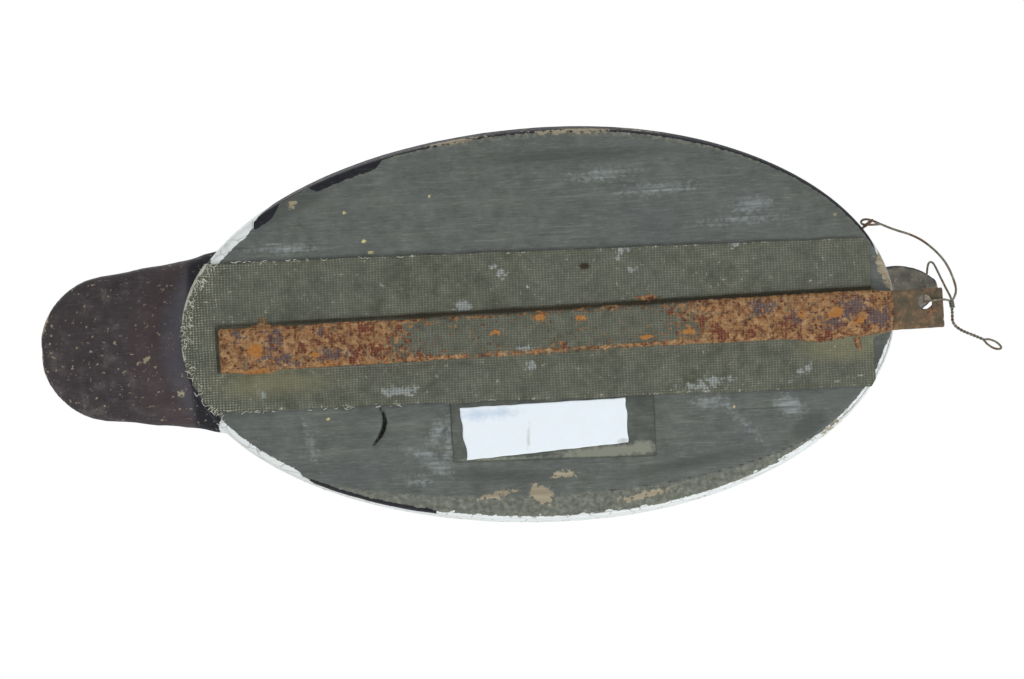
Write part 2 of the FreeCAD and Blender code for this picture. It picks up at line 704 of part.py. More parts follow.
doc.recompute()
for made in doc.Objects:
    if "Invalid" in made.State or "Error" in made.State:
        raise RuntimeError(f"{made.Label} failed: {made.State}")
os.makedirs("parts", exist_ok=True)
for made in nodes:
    if made.Shape.isNull() or not made.Shape.isValid():
        raise RuntimeError(f"{made.Label} has no valid shape")
    made.Shape.exportStep(os.path.join("parts", made.Label + ".step"))
    box = made.Shape.BoundBox
    print(f"{made.Label:14s} solids {len(made.Shape.Solids):2d}  volume {made.Shape.Volume:10.1f}  "
          f"x {box.XMin:7.1f} {box.XMax:7.1f}  y {box.YMin:7.1f} {box.YMax:7.1f}  z {box.ZMin:6.2f} {box.ZMax:6.2f}")
print("tie axis from", eye_centre, "to", hole_centre, "knot", knot)
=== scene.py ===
"""Looks of a hollow wooden working duck decoy with an iron ballast bar under painted canvas.

Millimetres are used for every size in this file; Blender's own units are metres. +X points to the
bill, +Y to the decoy's left side and +Z up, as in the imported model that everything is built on.
"""

from __future__ import annotations

import json
import logging
import math
from dataclasses import dataclass
from enum import Enum
from functools import cached_property
from typing import Callable

import bpy
import numpy as np
from mathutils import Matrix, Vector, geometry, noise

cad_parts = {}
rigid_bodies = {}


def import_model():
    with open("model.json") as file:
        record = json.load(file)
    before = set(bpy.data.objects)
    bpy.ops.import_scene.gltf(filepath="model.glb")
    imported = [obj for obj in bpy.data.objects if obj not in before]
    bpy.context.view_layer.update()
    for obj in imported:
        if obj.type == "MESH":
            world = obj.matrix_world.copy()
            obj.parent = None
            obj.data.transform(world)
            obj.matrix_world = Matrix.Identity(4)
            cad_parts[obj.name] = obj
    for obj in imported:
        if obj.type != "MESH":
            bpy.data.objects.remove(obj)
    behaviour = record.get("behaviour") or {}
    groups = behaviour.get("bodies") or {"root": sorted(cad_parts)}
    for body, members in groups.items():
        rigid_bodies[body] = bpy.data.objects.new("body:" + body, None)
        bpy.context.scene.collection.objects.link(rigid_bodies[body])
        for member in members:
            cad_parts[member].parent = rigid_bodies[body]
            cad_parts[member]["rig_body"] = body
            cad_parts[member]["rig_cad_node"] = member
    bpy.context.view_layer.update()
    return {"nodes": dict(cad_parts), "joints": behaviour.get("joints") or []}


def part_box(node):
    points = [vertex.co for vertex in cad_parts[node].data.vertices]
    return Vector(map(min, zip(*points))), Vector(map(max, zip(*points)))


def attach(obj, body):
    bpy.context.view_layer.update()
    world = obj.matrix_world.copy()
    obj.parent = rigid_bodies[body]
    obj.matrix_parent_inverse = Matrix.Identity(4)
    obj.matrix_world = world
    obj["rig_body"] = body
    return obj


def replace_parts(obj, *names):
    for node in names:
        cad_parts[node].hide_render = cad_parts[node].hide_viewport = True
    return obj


MM = 0.001
AWAY = -6.0  # what a field holds, in millimetres inside, where it has no place at all
FARTHEST = -8.0  # the least that a place's own distance comes to
TOUCHING = 0.002  # corners this near each other, in millimetres, are one
RUB = 0.6  # how much of the way to its neighbours' middle a point goes in one round of rubbing
log = logging.getLogger("decoy")

Array = np.ndarray
Piece = bpy.types.Object
Finish = bpy.types.Material
Link = bpy.types.NodeSocket
Corners = Route = tuple[tuple[float, ...], ...]


class Body(str, Enum):
    """The two moving bodies of the decoy."""

    DECOY = "decoy"
    LINE_TIE = "line_tie"


class Slot(str, Enum):
    """The record's material slot names; no piece in this script takes its finish from them."""

    BODY = "body_paint"
    BOTTOM = "bottom_paint"
    HEAD = "head_paint"
    PINE = "bare_wood"
    SCREW = "screw_steel"
    WIRE = "wire_steel"
    GLASS = "eye_glass"
    IRON = "rusty_iron"
    CANVAS = "painted_canvas"
    PATCH = "painted_cloth"
    TAPE = "white_cloth"


# ---- shaping


def deselect() -> None:
    """Leaves nothing selected, so that an operator acts on its own piece only."""
    if bpy.context.mode != "OBJECT":
        bpy.ops.object.mode_set(mode="OBJECT")
    bpy.ops.object.select_all(action="DESELECT")


def pick(*pieces: Piece) -> None:
    """Selects these pieces alone, the first of them active."""
    deselect()
    for piece in pieces:
        piece.select_set(True)
    bpy.context.view_layer.objects.active = pieces[0]


def named(name: str) -> Piece:
    """The active piece, given this name."""
    piece = bpy.context.view_layer.objects.active
    piece.name = piece.data.name = name
    return piece


def on_all(operator: Callable, **settings: object) -> None:
    """Runs an edit-mode operator on the whole mesh of the active piece."""
    bpy.ops.object.mode_set(mode="EDIT")
    bpy.ops.mesh.select_all(action="SELECT")
    operator(**settings)
    bpy.ops.object.mode_set(mode="OBJECT")


def joined(name: str, pieces: list[Piece]) -> Piece:
    """Several pieces as one, under this name."""
    pick(*pieces)
    bpy.ops.object.join()
    return named(name)


def duplicate(piece: Piece) -> Piece:
    """A copy of the piece with its own mesh."""
    copy = piece.copy()
    copy.data = piece.data.copy()
    bpy.context.scene.collection.objects.link(copy)
    return copy


def points_of(piece: Piece) -> Array:
    """The piece's vertices in millimetres, one row each."""
    flat = np.zeros(len(piece.data.vertices) * 3, np.float32)
    piece.data.vertices.foreach_get("co", flat)
    return flat.reshape(-1, 3).astype(float) / MM


def xyz(x: Array, y: Array, z: Array | float = 0.0) -> Array:
    """Places from their coordinates, one row each."""
    return np.stack(np.broadcast_arrays(x, y, z), 1)


def move_points(piece: Piece, points: Array) -> None:
    """Puts the piece's vertices at these places, in millimetres."""
    piece.data.vertices.foreach_set("co", (points * MM).astype(np.float32).ravel())
    piece.data.update()


def normals_of(piece: Piece) -> Array:
    """The piece's vertex normals, one row each."""
    flat = np.zeros(len(piece.data.vertices) * 3, np.float32)
    piece.data.vertices.foreach_get("normal", flat)
    return flat.reshape(-1, 3).astype(float)


def store(piece: Piece, **fields: Array) -> None:
    """Keeps numbers on the piece's vertices, for its finish to read by name."""
    for name, values in fields.items():
        kept = piece.data.attributes.get(name) or piece.data.attributes.new(name, "FLOAT", "POINT")
        kept.data.foreach_set("value", np.asarray(values, np.float32))


def apply(piece: Piece, kind: str, **settings: object) -> None:
    """Adds a modifier to the piece and applies it.

    Args:
        piece: the piece that is shaped.
        kind: Blender's name of the modifier.
        **settings: the modifier's own settings.
    """
    pick(piece)
    modifier = piece.modifiers.new(kind.title(), kind)
    for name, value in settings.items():
        setattr(modifier, name, value)
    bpy.ops.object.modifier_apply(modifier=modifier.name)


def steps(start: Vector, route: Route) -> list[Vector]:
    """The places that a route names by their steps from where it starts."""
    return [start + Vector(step) for step in route]


def in_place(piece: Piece) -> Piece:
    """Puts the piece's place, turn and size into its mesh, its object at the origin."""
    pick(piece)
    bpy.ops.object.transform_apply(location=True, rotation=True, scale=True)
    return piece


def copied(name: str, node: Piece, grain: float, hull: bool = False) -> Piece:
    """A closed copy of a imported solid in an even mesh, to carve on.

    Args:
        name: the new piece's name.
        node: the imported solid.
        grain: the mesh's spacing in millimetres.
        hull: whether the copy's hollows are closed first.

    Returns:
        The new piece.
    """
    piece = duplicate(node)
    piece.parent = None
    piece.hide_render = piece.hide_viewport = False
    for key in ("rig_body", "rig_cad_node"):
        del piece[key]
    pick(piece)
    on_all(bpy.ops.mesh.remove_doubles, threshold=TOUCHING * MM)
    if hull:
        on_all(bpy.ops.mesh.convex_hull)
    apply(piece, "REMESH", mode="VOXEL", voxel_size=grain * MM)
    return named(name)


def flat_grid(name: str, columns: int, rows: int) -> tuple[Piece, Array, Array]:
    """Starts a sheet of cloth.

    Args:
        name: the sheet's name.
        columns: its divisions along.
        rows: its divisions across.

    Returns:
        The sheet, and how far along and across it each point lies, from 0 to 1.
    """
    deselect()
    bpy.ops.mesh.primitive_grid_add(x_subdivisions=columns, y_subdivisions=rows, size=1)
    piece = named(name)
    unit = points_of(piece) * MM + 0.5
    return piece, unit[:, 0], unit[:, 1]


def laid(piece: Piece, points: Array, thickness: float) -> Piece:
    """Moves a sheet onto what it is glued to, and thickens it.

    Args:
        piece: the sheet.
        points: where its outer face goes, in millimetres.
        thickness: how thick it gets, upwards.

    Returns:
        The sheet, its outer face turned down.
    """
    move_points(piece, points)
    pick(piece)
    on_all(bpy.ops.mesh.flip_normals)
    apply(piece, "SOLIDIFY", thickness=thickness * MM, offset=-1.0)
    return piece


def relax(piece: Piece, share: Array, rounds: int) -> None:
    """Rubs a region smooth, as sandpaper does.

    Args:
        piece: the piece that is rubbed.
        share: 0 to 1 for each vertex, how much it is rubbed.
        rounds: how often.
    """
    edges = np.zeros(len(piece.data.edges) * 2, np.int32)
    piece.data.edges.foreach_get("vertices", edges)
    edges = edges.reshape(-1, 2)
    points = points_of(piece)
    touched = (share[edges[:, 0]] > 0) | (share[edges[:, 1]] > 0)
    edges = edges[touched]
    count = np.bincount(edges.ravel(), minlength=len(points)).clip(1)[:, None]
    weight = share[:, None] * RUB
    for _ in range(rounds):
        total = np.stack(
            [
                np.bincount(edges[:, 0], points[edges[:, 1], axis], len(points))
                + np.bincount(edges[:, 1], points[edges[:, 0], axis], len(points))
                for axis in range(3)
            ],
            1,
        )
        points += weight * (total / count - points)
    move_points(piece, points)


def wobble(points: Array, size: float, seed: float = 0.0) -> Array:
    """Smooth noise from -1 to 1 at each point.

    Args:
        points: places in millimetres.
        size: how many millimetres one swell of the noise is wide.
        seed: another number gives another pattern.

    Returns:
        One number for each point.
    """
    shifted = points / size + seed * 17.3
    return np.fromiter((noise.noise(Vector(p)) for p in shifted), float, len(points))


def ramp(values: Array, low: float, high: float) -> Array:
    """Smooth step from 0 at low to 1 at high."""
    share = np.clip((values - low) / (high - low), 0, 1)
    return share * share * (3 - 2 * share)


def bump_at(values: Array, start: float, end: float, fade: float) -> Array:
    """1 between start and end, fading to 0 outside them."""
    return ramp(values, start - fade, start + fade) * (1 - ramp(values, end - fade, end + fade))


@dataclass(frozen=True)
class Spot:
    """A worn, chipped or stained place: its middle, half length, half width and turn in degrees."""

    x: float
    y: float
    long: float
    wide: float
    turn: float = 0.0


Spots = tuple[Spot, ...]


def places(*rows: tuple[float, ...]) -> Spots:
    """Several spots, each row as Spot takes it."""
    return tuple(Spot(*row) for row in rows)


def inside(points: Array, spots: Spots) -> Array:
    """Millimetres inside the nearest of the spots, below 0 outside all of them."""
    best = np.full(len(points), FARTHEST)
    for spot in spots:
        turn = math.radians(spot.turn)
        dx, dy = points[:, 0] - spot.x, points[:, 1] - spot.y
        along = (dx * math.cos(turn) + dy * math.sin(turn)) / spot.long
        across = (dy * math.cos(turn) - dx * math.sin(turn)) / spot.wide
        best = np.maximum(best, (1 - np.hypot(along, across)) * min(spot.long, spot.wide))
    return best


class Outline:
    """The edge of the flat bottom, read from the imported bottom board."""

    def __init__(self, board: Piece) -> None:
        """Reads the ring of the board's lowest face."""
        points = points_of(board)
        low = points[points[:, 2] < points[:, 2].min() + 0.05][:, :2]
        self.ring = low[geometry.convex_hull_2d([Vector(p) for p in low])]
        self.ring = self.ring[np.linalg.norm(self.ring - np.roll(self.ring, 1, 0), axis=1) > 0.05]
        self.height = float(points[:, 2].min())
        area = np.cross(self.ring, np.roll(self.ring, -1, 0)).sum()
        self.ring = self.ring if area > 0 else self.ring[::-1]

    def within(self, points: Array) -> Array:
        """Millimetres from each point to the edge, above 0 inside it."""
        edge = np.roll(self.ring, -1, 0) - self.ring
        edge /= np.linalg.norm(edge, axis=1)[:, None]
        inward = np.stack([-edge[:, 1], edge[:, 0]], 1)
        best = np.full(len(points), 1e9)
        for corner, normal in zip(self.ring, inward):
            best = np.minimum(best, (points[:, :2] - corner) @ normal)
        return best

    def end(self, across: Array, way: int) -> Array:
        """The edge's X at each Y, at the breast for way 1 and at the stern for way -1."""
        half = self.ring[self.ring[:, 0] * way > 12]
        half = half[np.argsort(half[:, 1])]
        return np.interp(across, half[:, 1], half[:, 0])

    def stern(self, across: Array) -> Array:
        """The edge's X at the stern for each Y."""
        return self.end(across, -1)


# ---- finishes


def shade(hexed: str) -> tuple[float, float, float, float]:
    """A colour from its sRGB hex value, as Blender's linear numbers."""
    parts = [int(hexed[i : i + 2], 16) / 255 for i in (1, 3, 5)]
    return (*[c / 12.92 if c <= 0.04045 else ((c + 0.055) / 1.055) ** 2.4 for c in parts], 1.0)


def per(size: float) -> float:
    """A texture's scale for a pattern that repeats every so many millimetres."""
    return 1 / (size * MM)


TO_EDGE = "DISTANCE_TO_EDGE"  # what a crackle pattern measures
NOISE = ("Vector", "Scale", "Detail", "Roughness", "Distortion")  # the inputs of a noise, in order
WAVE = 2 * math.pi / 20  # a wave texture's scale for one band to each unit of length


class Recipe:
    """The layers of one finish, from what lies under to what lies over."""

    def __init__(self, name: str, world: bpy.types.World | None = None) -> None:
        """Starts an empty material of that name, or empties the world's own recipe."""
        self.owner = world or bpy.data.materials.new(name)
        self.owner.use_nodes = True
        self.tree = self.owner.node_tree
        self.tree.nodes.clear()

    @cached_property
    def place(self) -> Link:
        """Where a point lies on the piece, which every pattern reads."""
        return self.add("TexCoord", out="Object")

    def add(self, kind: str, inputs: dict | None = None, out: int | str = 0, **settings: object) -> Link:
        """Adds a node with its settings and links.

        Args:
            kind: Blender's name of the node, without its prefix.
            inputs: sockets by name or number, each with a value or another node's output.
            out: the output that is wanted.
            **settings: the node's own settings; stops gives a colour ramp its stops.

        Returns:
            The output, to link to the next node.
        """
        node = self.tree.nodes.new("ShaderNode" + kind)
        for stop, (at, colour) in enumerate(settings.pop("stops", ())):
            elements = node.color_ramp.elements
            element = elements[stop] if stop < 2 else elements.new(at)
            element.position, element.color = at, shade(colour)
        for name, value in settings.items():
            setattr(node, name, value)
        for name, value in (inputs or {}).items():
            if isinstance(value, Link):
                self.tree.links.new(value, node.inputs[name])
            else:
                node.inputs[name].default_value = value
        return node.outputs[out] if len(node.outputs) else node

    def field(self, name: str) -> Link:
        """A number that the piece's vertices carry."""
        return self.add("Attribute", out="Fac", attribute_name=name)

    def ragged(self, distance: Link, rough: Link, reach: float, soft: float = 0.25) -> Link:
        """A mask with a torn edge.

        Args:
            distance: millimetres inside the masked place.
            rough: the pattern that tears the edge.
            reach: how many millimetres it tears it.
            soft: the edge's own softness in millimetres.

        Returns:
            0 outside to 1 inside.
        """
        torn = self.add("Math", {0: rough, 1: 2 * reach, 2: -reach}, operation="MULTIPLY_ADD")
        total = self.add("Math", {0: distance, 1: torn}, operation="ADD")
        return self.add("MapRange", {"Value": total, "From Min": -soft, "From Max": soft})

    def coats(self, first: Link | str | tuple, *coats: tuple) -> Link:
        """Lays colours over each other.

        Args:
            first: the lowest colour, or a pattern and the colours it has at some of its values.
            *coats: for each coat its mask, its colour, and how dense it is at most. The mask may be
                a pattern with the values at which the coat starts and is full.

        Returns:
            The colour that shows.
        """
        under = shade(first) if isinstance(first, str) else first
        if isinstance(first, tuple):
            under = self.add("ValToRGB", {"Fac": first[0]}, stops=first[1:])
        for mask, colour, density in coats:
            if isinstance(mask, tuple):
                mask = self.add("MapRange", dict(zip(("Value", "From Min", "From Max"), mask)))
            thin = self.add("Math", {0: mask, 1: density}, operation="MULTIPLY") if density < 1 else mask
            over = shade(colour) if isinstance(colour, str) else colour
            under = self.add("Mix", {0: thin, 6: under, 7: over}, 2, data_type="RGBA")
        return under

    def relief(self, *layers: tuple[Link, float]) -> Link:
        """Bumps from several patterns, each with its depth in millimetres."""
        normal = None
        for height, depth in layers:
            inputs = {"Height": height, "Distance": abs(depth) * MM}
            if normal is not None:
                inputs["Normal"] = normal
            normal = self.add("Bump", inputs, invert=depth < 0)
        return normal

    def finish(self, colour: Link, rough: tuple | float, normal: Link, **constants: float) -> Finish:
        """Joins the layers in the shader.

        Args:
            colour: the colour that shows.
            rough: the roughness, one number, or a pattern with the roughness at its 0 and its 1.
            normal: the bumps.
            **constants: the shader's other settings, with _ for a space.

        Returns:
            The finished material.
        """
        if isinstance(rough, tuple):
            rough = self.add("MapRange", dict(zip(("Value", "To Min", "To Max"), rough)))
        inputs = {"Base Color": colour, "Roughness": rough, "Normal": normal}
        inputs.update({name.replace("_", " "): value for name, value in constants.items()})
        shader = self.add("BsdfPrincipled", inputs)
        self.add("OutputMaterial", {"Surface": shader})
        return self.owner


@dataclass(frozen=True)
class Patterns:
    """Noise that all the aged surfaces share, each by the size of one blotch of it."""

    blotch: Link
    mottle: Link
    speck: Link
    grit: Link

    @classmethod
    def on(cls, recipe: Recipe) -> Patterns:
        """Adds the four patterns to a recipe."""
        kept = ((42, 4, 0.55), (7, 6, 0.62), (2.2, 3, 0.6), (0.8, 2, 0.6))
        rows = (dict(zip(NOISE, (recipe.place, per(size), *rest))) for size, *rest in kept)
        return cls(*(recipe.add("TexNoise", row) for row in rows))


@dataclass(frozen=True)
class WorkingPaint:
    """Flat oil paint brushed on pine, worn by years on the water.

    Linseed-oil paint that has chalked: nearly no gloss, brush and grain streaks along the wood,
    ragged laps where one colour ends, and pale wood where an edge has rubbed through.
    """

    bottom: str = "#5e625d"
    white: str = "#e6ecee"
    black: str = "#17171b"
    streak_width: float = 1.5

    def build(self) -> Finish:
        """Makes the material; it reads the fields that the body's pieces carry."""
        r = Recipe("oil_paint_on_pine")
        n = Patterns.on(r)
        along, brushed, crack, ring = (
            r.add("Mapping", {"Vector": r.place, "Scale": (stretch, 1, 1)})
            for stretch in (0.035, 0.12, 0.45, 0.03)
        )
        rows = (
            (along, per(self.streak_width), 5, 0.7),
            (brushed, per(0.9), 3, 0.7),
            (along, per(9), 3, 0.6),
            (ring, per(2.4), 4, 0.6),
        )
        streak, fine, broad, grain = (r.add("TexNoise", dict(zip(NOISE, row))) for row in rows)
        light = r.add("MapRange", {"Value": streak, "From Min": 0.58, "From Max": 0.74})
        deep = r.add("MapRange", {"Value": streak, "From Min": 0.42, "From Max": 0.28})
        grey = r.coats(
            (n.mottle, (0.3, "#525650"), (0.7, "#6a6d68")),
            ((n.blotch, 0.42, 0.7), "#565a5a", 0.6),
            ((broad, 0.5, 0.75), "#6d6f67", 0.6),
            (light, "#8a8b7f", 0.6),
            (deep, "#3f423c", 0.65),
            ((fine, 0.55, 0.75), "#868880", 0.5),
            ((fine, 0.45, 0.28), "#41443e", 0.5),
            ((n.grit, 0.62, 0.8), "#82857e", 0.5),
        )
        rub = r.ragged(r.field("rub"), n.speck, 1.1, 0.9)
        brown_rub = r.coats(
            (n.speck, (0.3, "#55564b"), (0.5, "#6e7065"), (0.75, "#8d8e81")),
            (deep, "#4a4a40", 0.5),
        )
        scuff = r.ragged(r.field("scuff"), n.speck, 5.0, 1.6)
        high = {"Value": streak, "From Min": 0.4, "From Max": 0.62, "To Min": 0.15}
        scuff = r.add("Math", {0: scuff, 1: r.add("MapRange", high)}, operation="MULTIPLY")
        stain = r.ragged(r.field("stain"), n.mottle, 2.0, 1.4)
        dots = r.ragged(r.field("dots"), n.grit, 0.3)
        flecks = r.add("MapRange", {"Value": n.speck, "From Min": 0.735, "From Max": 0.775})
        bottom = r.coats(
            grey,
            (rub, brown_rub, 0.85),
            (stain, "#40433d", 0.5),
            (flecks, "#a4a89f", 0.7),
            (scuff, "#a3aaab", 0.62),
            (dots, "#cfc187", 1),
        )
        # side paints: white and black, and the brown-black of the tail, with a painted highlight on its
        # lower fillet
        cell = r.add("TexVoronoi", {"Vector": crack, "Scale": per(6.5)}, "Distance", feature=TO_EDGE)
        crazed = r.add("MapRange", {"Value": cell, "From Min": 0.035, "From Max": 0.0})
        white = r.coats(
            self.white,
            (n.blotch, "#d5d2c2", 0.55),
            ((n.mottle, 0.56, 0.75), "#b9b7a8", 0.55),
            (deep, "#9c9886", 0.3),
            (crazed, "#6f6a5b", 0.55),
        )
        black = r.coats(
            self.black,
            (n.mottle, "#2c2b33", 0.7),
            ((n.speck, 0.6, 0.8), "#4c4a52", 0.5),
            (light, "#5a5650", 0.35),
            (crazed, "#0b0b0c", 0.6),
        )
        umber = r.coats("#45393a", (n.mottle, "#5a4a48", 0.6), (light, "#4f4140", 0.4))
        # painted highlight: a pale lilac-grey band on the tail's lower fillet, next to the board's edge
        lilac = r.coats("#55525a", (streak, "#77757b", 0.6), (n.speck, "#3f3b41", 0.5))
        tail = r.coats(
            (n.mottle, (0.3, "#312c2d"), (0.55, "#443e40"), (0.8, "#625b5a")),
            (light, "#6e6663", 0.5),
            ((fine, 0.5, 0.28), "#262223", 0.5),
            ((n.mottle, 0.55, 0.66), "#5b5450", 0.55),
            ((n.blotch, 0.5, 0.7), "#3a3231", 0.6),
            ((n.speck, 0.8, 0.84), "#7a736d", 0.45),
            (r.field("umber"), umber, 0.65),
            (r.field("lilac"), lilac, 0.7),
        )
        dark = r.coats(black, (r.field("tail"), tail, 1))
        side = r.coats(white, (r.ragged(r.field("dark"), n.mottle, 1.6, 0.2), dark, 1))
        painted = r.coats(side, (r.ragged(r.field("bottom"), n.speck, 1.0, 0.12), bottom, 1))
        # bare wood shows last, where the paint is gone
        wood = r.coats(
            (grain, (0.3, "#81745c"), (0.5, "#a3967b"), (0.7, "#c2b69c")),
            (n.mottle, "#8a8371", 0.6),
        )
        bare = r.ragged(r.field("bare"), n.speck, 3.6, 0.3)
        line = r.ragged(r.field("crack"), n.grit, 0.3, 0.25)
        shown = r.coats(painted, (bare, wood, 0.95), (line, "#14160f", 0.95))
        height = r.add("Math", {0: bare, 1: n.grit}, operation="SUBTRACT")
        return r.finish(
            shown,
            (n.mottle, 0.55, 0.85),
            r.relief((streak, 0.22), (n.speck, 0.12), (crazed, -0.05), (height, -0.1)),
            Specular_IOR_Level=0.25,
        )


@dataclass(frozen=True)
class HeadPaint:
    """Flat black oil paint on the head, a white cheek and a slate bill, crazed and rubbed."""

    cheek: str = "#dfe3df"

    def build(self) -> Finish:
        """Makes the material; it reads the fields cheek, bill, under, collar and bare."""
        r = Recipe("oil_paint_on_carved_head")
        n = Patterns.on(r)
        cell = r.add("TexVoronoi", {"Vector": r.place, "Scale": per(5)}, "Distance", feature=TO_EDGE)
        crazed = r.add("MapRange", {"Value": cell, "From Min": 0.03, "From Max": 0.0})
        black = r.coats(
            "#131417",
            (n.mottle, "#242a29", 0.8),
            ((n.speck, 0.62, 0.8), "#494a4a", 0.5),
        )
        white = r.coats(self.cheek, (n.blotch, "#cfcbb9", 0.7), (n.mottle, "#bdb9a7", 0.35))
        slate = r.coats((n.mottle, (0.3, "#1c2227"), (0.6, "#2d353b"), (0.8, "#4a5255")))
        worn = r.coats(
            (n.mottle, (0.25, "#3d3b36"), (0.5, "#5f5b51"), (0.72, "#847a6a")),
            ((n.speck, 0.6, 0.75), "#b39f88", 0.7),
            ((n.speck, 0.4, 0.28), "#2a2a28", 0.6),
        )
        bill = r.coats(slate, (r.ragged(r.field("under"), n.speck, 1.0, 0.5), worn, 1))
        head = r.coats(
            black,
            (r.ragged(r.field("cheek"), n.speck, 0.8), white, 1),
            (r.ragged(r.field("collar"), n.mottle, 2.2), white, 1),
            (crazed, "#050506", 0.5),
            (r.ragged(r.field("bill"), n.grit, 0.4), bill, 1),
        )
        bare = r.ragged(r.field("bare"), n.speck, 1.6)
        return r.finish(
            r.coats(head, (bare, "#8f7c5f", 0.9)),
            (n.mottle, 0.38, 0.62),
            r.relief((n.speck, 0.1), (n.mottle, 0.35), (crazed, -0.05), (bare, -0.1)),
            Specular_IOR_Level=0.35,
        )


class Rust:
    """Layered iron rust: tan and orange scale, red-brown pits and violet-black hard scale.

    It reads the fields violet, red and orange, where each kind of scale has gathered.
    """

    @staticmethod
    def over(r: Recipe, n: Patterns) -> Link:
        """Adds rust's own colours to a recipe and gives the mixed colour.

        Args:
            r: the recipe that gets them.
            n: its shared patterns.

        Returns:
            The colour of solid rust.
        """
        scale, left = (
            r.add("TexNoise", dict(zip(NOISE, row)))
            for row in ((r.place, per(3.6), 7, 0.72, 0.6), (r.place, per(5.5), 5, 0.75, 0.4))
        )
        base = r.add(
            "ValToRGB",
            {"Fac": scale},
            stops=(
                (0.34, "#3c2219"),
                (0.66, "#b3916a"),
                (0.42, "#6b4228"),
                (0.49, "#8e643f"),
                (0.56, "#a07a52"),
            ),
        )
        pits = r.add("TexVoronoi", {"Vector": r.place, "Scale": per(3.1)}, "Distance")
        pit = r.ragged(r.add("Math", {0: 0.24, 1: pits}, operation="SUBTRACT"), n.speck, 0.7, 0.06)
        sparks = r.add("TexVoronoi", {"Vector": r.place, "Scale": per(6.3)}, "Distance")
        spark = r.add("Math", {0: 0.06, 1: sparks}, operation="SUBTRACT")
        spark = r.ragged(spark, n.speck, 0.4, 0.06)
        shards = r.add("Math", {0: n.mottle, 1: n.speck}, operation="MULTIPLY")
        broken = r.add("MapRange", {"Value": shards, "From Min": 0.12, "From Max": 0.4})
        hard = r.ragged(r.field("violet"), broken, 4.6, 0.3)
        red = r.ragged(r.field("red"), broken, 5.2, 0.3)
        orange = r.ragged(r.field("orange"), n.speck, 3.0, 0.3)
        return r.coats(
            base,
            ((left, 0.56, 0.62), "#6c6650", 0.7),
            (hard, r.coats("#35272a", (n.grit, "#665d6b", 0.72), (pit, "#2a1a1f", 0.6)), 0.85),
            (pit, "#4c1e15", 0.85),
            (spark, "#bd6c22", 0.85),
            (orange, r.coats("#a8672a", (n.speck, "#c98a3c", 0.6)), 0.8),
            (red, r.coats("#43150f", (n.grit, "#82301c", 0.75)), 0.9),
            ((n.grit, 0.6, 0.75), "#c0a17c", 0.45),
            ((n.grit, 0.4, 0.25), "#3a2018", 0.5),
        )


